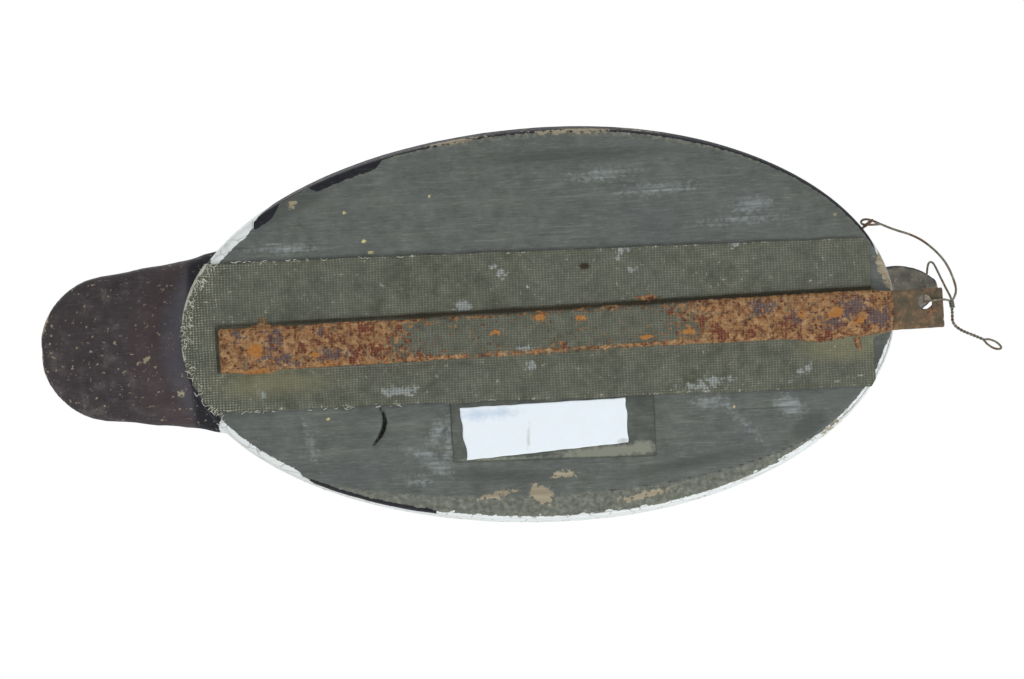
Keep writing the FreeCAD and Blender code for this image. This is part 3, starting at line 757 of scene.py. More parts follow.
@dataclass(frozen=True)
class PaintedCanvas:
    """Cotton duck glued down and painted over, rusting through above the iron.

    A plain weave whose thread crowns catch the light because the paint has worn off them. Real
    threads this coarse are about 1.2 mm apart, which still shows as a fine grid.
    """

    thread_across: float = 1.45
    thread_along: float = 1.2
    pull: float = 1.6
    skew: float = 0.8

    def build(self) -> Finish:
        """Makes the material; it reads rust, halo, fray, edge, soot, scuff and Rust's own fields."""
        r = Recipe("painted_cotton_duck")
        n = Patterns.on(r)
        drift = r.add("TexNoise", {"Vector": r.place, "Scale": per(16), "Detail": 2}, "Color")
        pull = (self.pull * MM, self.pull * MM, 0.0)
        moved = r.add("VectorMath", {0: drift, 1: pull, 2: r.place}, operation="MULTIPLY_ADD")
        turned = r.add("Mapping", {"Vector": moved, "Rotation": (0, 0, math.radians(-self.skew))})
        threads = [
            r.add(
                "TexWave",
                {
                    "Vector": turned,
                    "Scale": WAVE * per(size),
                    "Distortion": 1.4,
                    "Detail": 2.0,
                    "Detail Scale": 1.2,
                },
                "Fac",
                wave_type="BANDS",
                bands_direction=axis,
            )
            for size, axis in ((self.thread_across, "X"), (self.thread_along, "Y"))
        ]
        crowns = r.add("Math", {0: threads[0], 1: threads[1]}, operation="MULTIPLY")
        ridge = r.add("Math", {0: threads[0], 1: threads[1]}, operation="MAXIMUM")
        grid = r.add("MapRange", {"Value": ridge, "From Min": 0.72, "From Max": 1.0})
        uneven = r.add("Math", {0: n.mottle, 1: n.speck}, operation="MULTIPLY")
        patchy = {"Value": uneven, "From Min": 0.13, "From Max": 0.38, "To Min": 0.1}
        worn = r.add("Math", {0: grid, 1: r.add("MapRange", patchy)}, operation="MULTIPLY")
        tips = r.add("Math", {0: crowns, 1: r.field("fray")}, operation="MULTIPLY")
        tips = r.add("Math", {0: tips, 1: n.speck}, operation="MULTIPLY")
        cloth = r.coats(
            (n.mottle, (0.3, "#4a4c40"), (0.7, "#626456")),
            ((n.blotch, 0.4, 0.65), "#585a51", 0.5),
            (worn, "#868776", 0.68),
            ((ridge, 0.5, 0.15), "#4b4e45", 0.22),
            ((n.grit, 0.38, 0.25), "#3c3f36", 0.5),
            ((n.grit, 0.65, 0.8), "#8d9084", 0.4),
            ((tips, 0.34, 0.62), "#aeae9c", 0.75),
        )
        halo = r.coats(cloth, (r.ragged(r.field("halo"), n.mottle, 1.8, 3.2), "#8a8564", 0.42))
        # this coat is partly painted shadow (a dark line beside the bar's right edge and at its stern end)
        # and partly soot spots
        soot = r.ragged(r.field("soot"), n.speck, 0.7, 0.6)
        scuff = r.ragged(r.field("scuff"), n.speck, 4.6, 0.5)
        raised = r.add(
            "MapRange",
            {"Value": ridge, "From Min": 0.5, "From Max": 0.9, "To Min": 0.4, "To Max": 0.9},
        )
        scuff = r.add("Math", {0: scuff, 1: raised}, operation="MULTIPLY")
        flecks = r.add("MapRange", {"Value": n.speck, "From Min": 0.75, "From Max": 0.79})
        stained = r.coats(
            halo,
            (flecks, "#a9ab9f", 0.7),
            (scuff, "#a6abaa", 0.7),
            (r.ragged(r.field("edge"), n.speck, 2.6, 0.35), "#bebdad", 0.85),
            (soot, "#2c2416", 0.88),
        )
        rusty = r.coats(Rust.over(r, n), (worn, "#a08a6c", 0.3))
        eaten = r.ragged(r.field("rust"), n.speck, 1.5, 0.2)
        shown = r.coats(stained, (eaten, rusty, 0.94))
        scale = r.add("Math", {0: eaten, 1: n.speck}, operation="MULTIPLY")
        return r.finish(
            shown,
            (n.mottle, 0.72, 0.95),
            r.relief((ridge, 0.16), (n.speck, 0.12), (scale, 0.5)),
            Specular_IOR_Level=0.2,
        )


@dataclass(frozen=True)
class RustedIron:
    """Hot-rolled mild steel flat bar with a worn skin of rust and old paint, pitted by water."""

    skin: str = "#6a5a47"

    def build(self) -> Finish:
        """Makes the material; it reads the fields of Rust."""
        r = Recipe("rusted_flat_iron")
        n = Patterns.on(r)
        old = r.coats(
            (n.mottle, (0.3, "#4b4738"), (0.55, self.skin), (0.8, "#8f745f")),
            ((n.speck, 0.58, 0.78), "#a08870", 0.5),
            ((n.speck, 0.4, 0.25), "#33271d", 0.6),
        )
        scaled = r.add("MapRange", {"Value": n.mottle, "From Min": 0.5, "From Max": 0.62})
        return r.finish(
            r.coats(old, (scaled, Rust.over(r, n), 0.7)),
            (n.speck, 0.6, 0.95),
            r.relief((n.speck, 0.3), (n.mottle, 0.3), (n.grit, 0.1)),
            Metallic=0.15,
            Specular_IOR_Level=0.3,
        )


@dataclass(frozen=True)
class AgedWire:
    """Soft annealed steel wire, twisted by hand, its zinc gone dull and rust in its bends."""

    zinc: str = "#7c7768"
    rust: str = "#5d3e26"
    rusted: float = 0.5

    def build(self) -> Finish:
        """Makes the material."""
        r = Recipe("annealed_wire")
        n = Patterns.on(r)
        red = r.coats(self.rust, (n.speck, "#8a5c36", 0.6), (n.grit, "#3a2a1e", 0.4))
        colour = r.coats(
            (n.speck, (0.3, "#4b473b"), (0.55, self.zinc), (0.8, "#a39d8c")),
            ((n.mottle, self.rusted, self.rusted + 0.1), red, 0.9),
        )
        return r.finish(
            colour,
            (n.speck, 0.45, 0.8),
            r.relief((n.grit, 0.08), (n.speck, 0.12)),
            Metallic=0.35,
        )


@dataclass(frozen=True)
class CottonTape:
    """Bleached cotton tape, plain woven, with faded ink and handling marks.

    Its real threads are about 0.4 mm apart, drawn 0.9 mm apart so that they show at all.
    """

    cloth: str = "#eff5f9"
    thread: float = 0.9

    def build(self) -> Finish:
        """Makes the material; it reads the fields ink and soil."""
        r = Recipe("bleached_cotton_tape")
        n = Patterns.on(r)
        threads = [
            r.add(
                "TexWave",
                {"Vector": r.place, "Scale": WAVE * per(self.thread), "Distortion": 0.8},
                "Fac",
                bands_direction=axis,
            )
            for axis in ("X", "Y")
        ]
        weave = r.add("Math", {0: threads[0], 1: threads[1]}, operation="MULTIPLY")
        ink = r.ragged(r.field("ink"), n.speck, 2.4, 1.6)
        colour = r.coats(
            self.cloth,
            (weave, "#e2eaf0", 0.35),
            (n.mottle, "#dfe6ea", 0.4),
            (ink, "#a9bdd6", 0.5),
            (r.ragged(r.field("soil"), n.speck, 1.0, 0.6), "#a8a79a", 0.55),
            ((n.speck, 0.77, 0.8), "#b4ab97", 0.6),
        )
        relief = r.relief((weave, 0.05), (n.mottle, 0.2))
        return r.finish(colour, 0.9, relief, Specular_IOR_Level=0.15)


@dataclass(frozen=True)
class PaintedCloth:
    """A strip of cloth tape under the bottom paint, its edges and threads rubbed pale."""

    paint: str = "#565953"

    def build(self) -> Finish:
        """Makes the material; it reads the fields edge and worn."""
        r = Recipe("painted_over_tape")
        n = Patterns.on(r)
        along = r.add("Mapping", {"Vector": r.place, "Scale": (0.05, 1, 1)})
        streak = r.add("TexNoise", dict(zip(NOISE, (along, per(1.2), 4, 0.7))))
        colour = r.coats(
            (n.mottle, (0.3, "#4a4d47"), (0.5, self.paint), (0.75, "#666962")),
            ((streak, 0.55, 0.72), "#80827a", 0.5),
            (r.ragged(r.field("worn"), n.speck, 2.0, 0.8), "#8e9080", 0.75),
            (r.ragged(r.field("edge"), n.grit, 0.4, 0.3), "#45473d", 0.7),
        )
        relief = r.relief((streak, 0.12), (n.speck, 0.1))
        return r.finish(colour, 0.85, relief, Specular_IOR_Level=0.2)


@dataclass(frozen=True)
class GlassEye:
    """Blown glass eye: a black pupil and a yellow iris painted behind clear, polished glass."""

    iris: str = "#c9921b"

    def build(self) -> Finish:
        """Makes the material; it reads the field ring, the distance from the pupil's middle."""
        r = Recipe("glass_eye")
        n = Patterns.on(r)
        ring = r.field("ring")
        colour = r.coats(
            "#050506",
            ((ring, 2.1, 2.3), r.coats(self.iris, (n.grit, "#8d5c10", 0.6)), 1),
            ((ring, 4.0, 4.3), "#1a1510", 1),
        )
        polish = {"Coat_Weight": 1.0, "Coat_Roughness": 0.02, "IOR": 1.52}
        return r.finish(colour, 0.06, r.relief((n.mottle, 0.01)), **polish)


@dataclass(frozen=True)
class Hidden:
    """Plain sound material for what sits inside the wood: bare pine or plated steel."""

    name: str
    low: str
    high: str
    stretch: tuple[float, float, float]
    size: float
    metallic: float
    rough: float

    def build(self) -> Finish:
        """Makes the material."""
        r = Recipe(self.name)
        place = r.add("Mapping", {"Vector": r.place, "Scale": self.stretch})
        grain = r.add("TexNoise", dict(zip(NOISE, (place, per(self.size), 5, 0.6))))
        colour = r.add("ValToRGB", {"Fac": grain}, stops=((0.3, self.low), (0.7, self.high)))
        rough = (grain, self.rough - 0.1, self.rough + 0.1)
        return r.finish(colour, rough, r.relief((grain, 0.1)), Metallic=self.metallic)


PINE = Hidden("bare_pine", "#b08d5c", "#d0b183", (1, 1, 0.05), 1.8, 0.0, 0.7)
STEEL = Hidden("dull_steel", "#5a554c", "#8b867c", (1, 1, 1), 2.5, 0.85, 0.5)
THREAD = Hidden("frayed_cotton", "#9b9a88", "#deddcf", (1, 1, 1), 3.0, 0.0, 0.9)


def dress(piece: Piece, material: Finish, body: Body = Body.DECOY) -> None:
    """Gives a new piece its finish and its body, and logs it.

    Args:
        piece: the finished piece.
        material: its finish.
        body: the body that it rides on.
    """
    piece.data.materials.clear()
    piece.data.materials.append(material)
    pick(piece)
    bpy.ops.object.shade_smooth()
    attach(piece, body.value)
    log.info("%s: %d faces on %s", piece.name, len(piece.data.polygons), body.value)


def redress(node: Piece, material: Finish) -> None:
    """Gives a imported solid, whose shape is right as it is, a better finish."""
    node.data.materials.clear()
    node.data.materials.append(material)
    log.info("%s: packed solid, %s", node.name, material.name)


# ---- the painted wood

LEFT, RIGHT = 1, -1  # the decoy's own sides, as the sign of Y


@dataclass(frozen=True)
class Lap:
    """A stretch of the edge where the side paint runs over onto the bottom."""

    start: float
    end: float
    side: int
    width: float


@dataclass
class PaintedBody:
    """The carved body with its tail, and the board that closes it from below."""

    nodes: dict
    outline: Outline
    board_grain: float = 1.25
    body_grain: float = 2.0
    chine: float = 2.2
    facet_width: float = 11.0
    facet_depth: float = 0.8
    boot_top: float = 40.0
    stern_paint: tuple[float, float] = (161.0, 158.0)
    laps: tuple[Lap, ...] = (
        Lap(-156, -133, RIGHT, 4.2), Lap(-134, -121, RIGHT, 4.6), Lap(-104, -71, RIGHT, 3.8),
        Lap(-72, 168, RIGHT, 0.35), Lap(-160, -116, LEFT, 2.6), Lap(-114, -52, LEFT, 1.1),
        Lap(-50, 112, LEFT, 0.6), Lap(112, 168, LEFT, 1.5),
    )
    worn_edges: Spots = places(
        (-38, -90, 14, 1.6, -4), (26, -92, 17, 1.5), (-23, 80, 8, 1.3, -10), (-2, 81, 6, 4.0, 35),
        (9, 72, 5, 1.6), (-114, -63.5, 2, 1.6, -25), (167.5, -16.5, 10, 2.6, 72),
        (138, 57, 4, 1.4, -40), (47, 84, 9, 1.2, -8),
    )
    scuffs: Spots = places(
        (-51, 50, 2.2, 5.0, 30), (-45, 55, 1.2, 6.5, 5), (-57, 59, 6.0, 1.2, 20), (-52, 64, 7, 3.0, 35),
        (-60, 71, 4, 1.6), (118.5, 45, 6.5, 4.0, 20), (94, 49, 7.5, 0.8, 50), (80, 41.5, 5.5, 2.0),
        (105, -52, 7, 3, -5), (99, -45, 9, 1.0, -3), (62, -62, 12, 2, -3), (-111, 50, 1.0, 5, -15),
        (128, 64, 4, 1.4, -40), (34, -70, 10, 1.6, -3), (-120, -43, 9, 1.4, 3),
    )
    dots: Spots = places(
        (-89, -58.5, 1.0, 0.8), (-80.4, -44.4, 1.2, 0.9), (-77.5, -38.8, 1.7, 0.7),
        (12, 62.5, 0.9, 0.9), (-48, -64, 0.8, 0.8), (92, 44, 0.8, 0.8), (-102, 39.6, 1.0, 0.7),
        (145, -45, 0.9, 0.7),
    )
    stains: Spots = places(
        (127, 55, 9, 5, -30), (-20, 71, 26, 3, 4), (66, 70, 30, 2.4, -8), (-116, -62, 20, 4, -22),
        (20, -80, 40, 3), (163, 25, 9, 3, -75),
    )
    wing: Spots = places((-34, 60, 50, 9, 6), (-30, 44, 40, 2.2, 4))
    tail_chips: Spots = places((-192, 6, 1.7, 1.7), (-213, 31, 2.0, 1.6, -40), (-176, 24, 1.2, 1.6))
    gouge: Corners = (
        (-77, 35.5), (-75.4, 39), (-75, 42.3), (-76, 46), (-77.7, 49.3), (-81.3, 53.5),
    )

    def fields(self, piece: Piece) -> None:
        """Works out where each paint, wear and stain lies on a piece of the body, and where a highlight is
        painted on the tail's fillet.
        """
        points = points_of(piece)
        x, y, z = points.T
        depth = self.outline.within(points)
        side = np.where(y > 0, LEFT, RIGHT)
        lap = np.full(len(x), -0.6) + 1.6 * ramp(-x, 150, 158)
        for item in self.laps:
            reach = bump_at(x, item.start, item.end, 3.0) * (side == item.side)
            lap = np.maximum(lap, item.width * reach - 0.6 * (1 - reach))
        low = self.outline.height
        facing_down = np.clip((low + self.chine * 0.55 - z) / (self.chine * 0.55) * 4, -4, 4)
        bottom = np.minimum(depth - lap, facing_down)
        # the dark paint: boot top on the right, a ragged one on the left, the back, the tail
        aft = x - 0.45 * z + 1.5 * wobble(points * (0, 1, 1), 12)
        hip = np.where(side == RIGHT, 1 - ramp(aft, -137, -131), 1 - ramp(aft, -119, -113))
        top = self.boot_top - 42 * ramp(x, 138, 173) + 3 * wobble(points * (1, 0, 0), 40)
        right_low = np.where(side == RIGHT, top - z, AWAY)
        ragged = 9 + 2.5 * wobble(points * (1, 0, 0), 12) - z
        left_low = np.where((side == LEFT) & (x < -52) & (x > -116), ragged, AWAY)
        back = z - 58 - 5 * np.cos(x / 28) - np.maximum(0, x - 78) * 1.2 + 0.05 * np.abs(y)
        wing = inside(xyz(x, np.abs(y)), self.wing)
        back = np.minimum(back, np.where(z > 45, -wing, 8))
        rear = -x - np.where(side == LEFT, *self.stern_paint) + 0.06 * z
        rear = rear + 2.5 * ramp(z, 26, 44) * wobble(points * (0, 1, 1), 20)
        low_paint = np.where(hip > 0.4, -3, np.maximum(right_low, left_low))
        dark = np.maximum.reduce([low_paint, back, rear])
        behind = self.outline.stern(y) - x
        stern = ramp(-x, 150, 156) * ramp(-np.abs(y), -44, -36)
        dark = np.where(stern > 0.5, 1.2 * wobble(points, 2.6, 3) + 1.0, dark)
        dark = np.where(x < -171.5, 6, dark)
        rub = np.where(side == LEFT, self.facet(x) - depth, AWAY) - 0.3
        rub = np.maximum(rub, 2.0 * ramp(-np.abs(x - 20), -130, -20) - depth + 0.3)
        store(
            piece,
            bottom=bottom,
            dark=np.clip(dark, AWAY, -AWAY),
            tail=ramp(-x, 168, 172),
            # painted highlight on the tail's fillet, just behind the stern edge of the bottom
            lilac=bump_at(behind, 1.5, 13, 5) * ramp(-z, -52, -40),
            umber=bump_at(behind, 12, 30, 9) * ramp(-z, -52, -40),
            bare=self.bare(points),
            crack=self.cracks(points),
        )
        marks = {"scuff": self.scuffs, "stain": self.stains, "dots": self.dots}
        worn = {"rub": rub, **{name: inside(points, spots) for name, spots in marks.items()}}
        store(piece, **{name: np.where(z < low + 3, field, AWAY) for name, field in worn.items()})

    def bare(self, points: Array) -> Array:
        """Millimetres inside places where the wood shows."""
        x, _, z = points.T
        low = self.outline.height
        under = np.where(z < low + 4, inside(points, self.worn_edges), AWAY)
        upper = 5.5 * wobble(points * (0.5, 1, 1), 15, 2) - 3.1 - 2.6 * ramp(-x, 168, 176)
        upper = np.maximum(upper, np.where(z < 40, inside(points, self.tail_chips), AWAY))
        crest = 1.5 * ramp(z, 84, 92)
        tip = 2.2 * ramp(-x, 236, 246) * ramp(z, 44, 50)
        tip = tip + 3.0 * wobble(points, 6, 5) * ramp(-x, 234, 246)
        return np.where(z > low + 4, np.maximum(upper + crest, tip - 1.2), under)

    def cracks(self, points: Array) -> Array:
        """Millimetres inside the gouge in the board and the seam round the hull."""
        low = self.outline.height
        route = np.array(self.gouge)
        near = np.full(len(points), 9.0)
        for start, end in zip(route[:-1], route[1:]):
            run = end - start
            share = np.clip(((points[:, :2] - start) @ run) / (run @ run), 0, 1)
            gap = points[:, :2] - start - share[:, None] * run
            near = np.minimum(near, np.linalg.norm(gap, axis=1))
        taper = (1 - ((points[:, 1] - 44.5) / 10.5) ** 2).clip(0) + 0.15
        gouge = np.where(points[:, 2] < low + 4, taper - near, AWAY)
        seam = 0.3 - np.abs(points[:, 2] - self.seam)
        x, y, z = points.T
        joint = 0.45 - np.abs(self.facet(x) - self.outline.within(points))
        joint = np.where((z < low + 3) & (y > 0) & (x > 30), joint, AWAY)
        return np.maximum.reduce([gouge, seam, joint - 0.25])

    def facet(self, along: Array) -> Array:
        """How wide the worn strip along the left edge is at each X."""
        return self.facet_width * (1 - ((along - 15) / 128) ** 2).clip(0)

    def board(self, finish: Finish) -> Piece:
        """Makes the bottom board, its nail heads filled and painted over."""
        self.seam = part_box("bottom_board")[1].z / MM
        solid = self.nodes["bottom_board"]
        piece = copied("bottom_board_painted", solid, self.board_grain, hull=True)
        low = self.outline.height
        points = points_of(piece)
        depth = self.outline.within(points)
        near_edge = (depth < self.chine * 1.3) & (points[:, 2] < low + self.chine * 1.4)
        relax(piece, near_edge * 0.9, 10)
        points = points_of(piece)
        x, y, z = points.T
        face = ramp(-z, -low - 1.0, -low - 0.2)
        width = self.facet(x)
        slope = np.where((y > 0) & (width > 0.5), (1 - depth / width.clip(0.5)).clip(0, 1), 0)
        z = z + self.facet_depth * slope * face
        groove = self.cracks(points)
        z = z + 2.4 * ramp(groove, -0.2, 1.1) * (points[:, 2] < low + 2)
        calm = 1 - bump_at(x, -50, 62, 4) * bump_at(y, 26, 70, 3)
        brushed = 0.09 * wobble(points * (0.25, 1, 1), 7) + 0.12 * np.abs(wobble(points, 18, 4))
        z = z + face * calm * brushed
        chips = ramp(wobble(points, 4.5, 7), 0.25, 0.5) * ramp(-depth, -2.2, -0.4)
        z = z + 0.7 * chips * face
        move_points(piece, xyz(x, y, z.clip(low)))
        self.fields(piece)
        dress(piece, finish)
        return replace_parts(piece, "bottom_board", "board_nails")

    def shell(self, finish: Finish) -> Piece:
        """Makes the body and tail, the tail's root faired into the stern, tool marks left on."""
        piece = copied("body_carved", self.nodes["body_shell"], self.body_grain)
        points = points_of(piece)
        x, _, z = points.T
        root = bump_at(x, -189, -165, 4) * ramp(z, self.seam + 2, self.seam + 6)
        relax(piece, root, 26)
        relax(piece, (z > self.seam + 4) * 0.5, 3)
        points = points_of(piece)
        normals = normals_of(piece)
        outer = ramp(points[:, 2], self.seam + 3, self.seam + 9)
        marks = -0.45 * np.abs(wobble(points * (0.6, 1, 1), 11, 1))
        marks = marks - 0.2 * np.abs(wobble(points, 24, 6))
        tail = ramp(-points[:, 0], 176, 182)
        striae = -0.25 * np.abs(wobble(points * (0.15, 1, 0.5), 3.0, 8)) * tail
        move_points(piece, points + normals * ((marks * (1 - 0.6 * tail) + striae) * outer)[:, None])
        self.fields(piece)
        dress(piece, finish)
        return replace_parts(piece, "body_shell")

    def build(self) -> None:
        """Makes both pieces and refinishes the dowel hidden in the wood."""
        paint = WorkingPaint().build()
        self.board(paint)
        self.shell(paint)
        redress(self.nodes["neck_dowel"], PINE.build())


@dataclass
class CarvedHead:
    """The head on its dowel, with glass eyes and a bill that is rubbed pale underneath."""

    nodes: dict
    grain: float = 1.1
    eye_radius: float = 5.0
    cheek: Spots = places((17, -11, 7.5, 6.5, 60), (15, -5.5, 4.0, 4.5, 20))

    def __post_init__(self) -> None:
        """Finds the head's own directions from its two eyes."""
        names = ("eye_left", "eye_right")
        self.eyes = {name: sum(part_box(name), Vector()) / 2 / MM for name in names}
        self.middle = (self.eyes["eye_left"] + self.eyes["eye_right"]) / 2
        self.across = (self.eyes["eye_left"] - self.eyes["eye_right"]).normalized()
        self.ahead = self.across.cross(Vector((0, 0, 1)))

    def local(self, points: Array) -> Array:
        """Places ahead of, left of and above the point between the eyes."""
        offset = points - np.array(self.middle)
        return xyz(offset @ np.array(self.ahead), offset @ np.array(self.across), offset[:, 2])

    def head(self) -> Piece:
        """Carves the cheeks, eye rims, nostrils, nail and the line of the mouth."""
        piece = copied("head_carved", self.nodes["head"], self.grain)
        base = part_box("head")[0].z / MM
        own = self.local(points_of(piece))
        f, s, u = own.T
        side = np.abs(s)
        face = bump_at(f, 12, 34, 6) * (side < 26)
        relax(piece, face * ramp(u, -60, -52), 12)
        relax(piece, ramp(points_of(piece)[:, 2], base + 3, base + 7) * 0.6, 4)
        points = points_of(piece)
        f, s, u = self.local(points).T
        side = np.abs(s)
        push = np.zeros(len(f))
        push += 1.5 * np.exp(-(((f + 3) / 16) ** 2 + ((u + 17) / 11) ** 2)) * (side > 8)
        eye = np.hypot(f, u)
        push += 0.9 * np.exp(-(((eye - 6.6) / 1.3) ** 2)) * (side > 12)
        push -= 0.9 * np.exp(-((eye / 13) ** 2)) * (side > 12) * (eye > 8)
        bill = ramp(f, 27, 33)
        tip = f.max()
        mouth = u + 24.5 - 2.0 * ((f - 45) / 20) ** 2
        push -= 0.8 * np.exp(-((mouth / 0.9) ** 2)) * bill * (side > 4) * (f < tip - 5)
        nostril = np.hypot((f - (tip - 27)) / 3.6, (u + 13.5) / 1.5)
        push -= 1.5 * np.exp(-(nostril**2)) * (side > 2)
        nail = np.hypot((f - tip + 3) / 7, s / 4.5)
        push += 0.6 * ramp(-nail, -1.1, -0.8) * (u > -22)
        push -= 0.35 * np.abs(wobble(points, 9, 2)) * (1 - bill)
        normals = normals_of(piece)
        keep = ramp(points[:, 2], base + 1, base + 5)
        points = points + normals * (push * keep)[:, None]
        move_points(piece, points)
        under = -normals[:, 2]
        cheek = inside(xyz(f, u), self.cheek)
        bill_edge = f - 29.5 - 0.16 * np.abs(u + 16) + 0.12 * side
        store(
            piece,
            cheek=np.where(side > 7, cheek, AWAY),
            collar=(-48 - u).clip(-8, 6) + 1.5 * wobble(points, 8, 3),
            bill=np.where(f > 0, bill_edge, AWAY).clip(AWAY, -AWAY),
            under=(under - 0.8) * 8 + 0.8 * wobble(points, 4, 1),
            bare=4.5 * wobble(points, 10, 9) - 3.0 + 1.8 * ramp(f, tip - 4, tip) * (u > -24),
        )
        dress(piece, HeadPaint().build())
        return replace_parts(piece, "head")

    def eye(self, name: str, finish: Finish) -> Piece:
        """Makes one glass eye, flattened a little behind its pupil."""
        centre = self.eyes[name]
        outward = self.across if name == "eye_left" else -self.across
        deselect()
        bpy.ops.mesh.primitive_uv_sphere_add(segments=48, ring_count=32, radius=self.eye_radius * MM)
        piece = named(f"{name}_glass")
        points = points_of(piece)
        way = np.array(outward)
        along = points @ way
        points += np.outer(np.where(along < 0, -0.35 * along, 0.06 * along), way)
        along = points @ way
        ring = np.linalg.norm(points - np.outer(along, way), axis=1)
        store(piece, ring=np.where(along > 0, ring, 6))
        move_points(piece, points + np.array(centre))
        dress(piece, finish)
        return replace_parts(piece, name)

    def build(self) -> None:
        """Makes the head and both eyes."""
        self.head()
        glass = GlassEye().build()
        for name in self.eyes:
            self.eye(name, glass)
        redress(self.nodes["neck_nails"], STEEL.build())


# ---- the iron and its canvas


@dataclass
class Ballast:
    """The flat iron bar, the screws that hold it and the canvas that is glued over it."""

    nodes: dict
    outline: Outline
    bar_grain: float = 0.62
    thickness: float = 1.3
    columns: int = 330
    rows: int = 96
    width: float = 71.0
    setback: float = 10.5
    skew: float = 0.8
    drift: float = 0.014
    threads: int = 150
    reach: float = 39.0
    oval: tuple[float, float, float] = (11.0, 182.0, 86.0)
    cut: tuple[float, float] = (36.2, -35.4)
    halos: Spots = places((-127, 20.5, 24, 5.5, 1), (144, 17.5, 17, 6.5), (-140, 22, 9, 4))
    scuffs: Spots = places(
        (-35, -10.8, 3.3, 1.9), (42.5, -32.5, 4.2, 1.2, -25), (46.6, -23.8, 1.3, 0.9),
        (-6, 11.0, 4.0, 1.5), (-4, 19.5, 2.0, 2.2), (124, 29.5, 4.5, 0.9, -35), (128, 27, 1.3, 1.2),
        (76, 33.5, 7, 1.0), (84, 31, 6, 1.4), (96, -34, 2.0, 2.2), (131, -6.8, 6, 1.4),
        (-66, 28, 8, 2.0), (-17, -27, 2.6, 1.0, 40), (-132, 26, 1.5, 1.1),
    )
    soots: Spots = places(
        (24, -26.8, 2.4, 1.6), (153, 8.5, 3.4, 1.6, 60), (135, 13.6, 8, 1.2), (152, 15.5, 3.5, 1.5, 70),
    )
    drips: Spots = places(
        (53, -10.2, 5, 1.2), (134, 13.8, 9, 1.5), (152, 16.4, 3.4, 1.5, 70), (-131, -8.9, 3.4, 1.3),
    )
    bar_violets: Spots = places((176, 0, 4, 3), (190, 6, 3, 2))
    violets: Spots = places(
        (-121, 10, 10, 4.2, 4), (-126, 1, 4.5, 5.5, 30), (-95, 9, 10, 4.0, 2), (-143, -3, 4.5, 3.0),
        (-104, -2, 5, 2.6, -20), (107, -2, 8, 5.0, 10), (122, 4, 5, 3.4), (140, 6, 8, 5.0, -10),
        (150, 1, 8, 5.5), (163, 5, 7, 5.5),
    )
    reds: Spots = places(
        (-77.9, 7.1, 3.6, 2.8, 50), (-84.4, 7.6, 3.0, 2.2), (-82.1, -2.7, 2.6, 1.8, 20),
        (-97, 1.0, 2.2, 1.4), (-108, -1.5, 3.2, 1.6, 30), (-111, 5.5, 1.8, 1.4), (-66, -3.5, 1.4, 1.1),
        (-62, 4.6, 1.2, 1.0), (-56, 11.0, 2.0, 1.0), (-90, 11.6, 4.0, 1.4), (77, 1.5, 2.4, 1.6),
        (86, 7.6, 3.6, 2.0, 30), (103, 9.0, 3.0, 2.2, 60), (119, 7.0, 3.4, 1.6, -30),
        (134, 12.8, 9.0, 1.4, -3), (64, -2.0, 1.5, 1.2), (12, 9.6, 1.6, 1.2),
    )
    oranges: Spots = places(
        (-134.5, 5.3, 3.4, 3.3), (-135, 15.0, 7.0, 0.9), (-101, 13.2, 4.0, 1.1), (-106, 8.4, 1.6, 1.1),
        (126, 2.0, 1.8, 1.5), (142.4, 1.6, 3.4, 1.9, -20), (154, 5.6, 3.0, 1.3, -25),
        (72, 7.0, 3.0, 1.6), (21, -2.0, 2.0, 1.2), (1, -3.6, 3.0, 1.4), (-20, 2.6, 2.0, 1.0),
        (52, 8.6, 3.0, 1.0),
    )

    def __post_init__(self) -> None:
        """Reads the bar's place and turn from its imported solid."""
        points = points_of(self.nodes["ballast_bar"])
        self.stern_end, self.free_end = points[:, 0].min(), points[:, 0].max()
        first = points[points[:, 0] < self.stern_end + 3][:, 1]
        last = points[points[:, 0] > self.free_end - 3][:, 1]
        self.start_y, self.end_y = (first.min() + first.max()) / 2, (last.min() + last.max()) / 2
        self.half = (first.max() - first.min()) / 2

    def from_bar(self, x: Array, y: Array) -> Array:
        """How far each place is to the left of the bar's middle line."""
        share = (x - self.stern_end) / (self.free_end - self.stern_end)
        return y - (self.start_y + share * (self.end_y - self.start_y))

    def bar(self) -> Piece:
        """Makes the pitted bar with its rounded rolled edges."""
        piece = copied("ballast_bar_rusted", self.nodes["ballast_bar"], self.bar_grain)
        relax(piece, np.full(len(piece.data.vertices), 0.5), 2)
        points = points_of(piece)
        pits = -0.28 * ramp(wobble(points, 2.6, 3), 0.15, 0.6) - 0.16 * np.abs(wobble(points, 6, 5))
        move_points(piece, points + normals_of(piece) * pits[:, None])
        points = points_of(piece)
        none = np.full(len(points), AWAY)
        store(piece, violet=inside(points, self.bar_violets) - 1.5, red=none, orange=none)
        dress(piece, RustedIron().build())
        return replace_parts(piece, "ballast_bar")

    def canvas(self) -> Piece:
        """Lays the sheet on the board and over the bar, glued down beside it."""
        piece, along, across = flat_grid("canvas_laid", self.columns, self.rows)
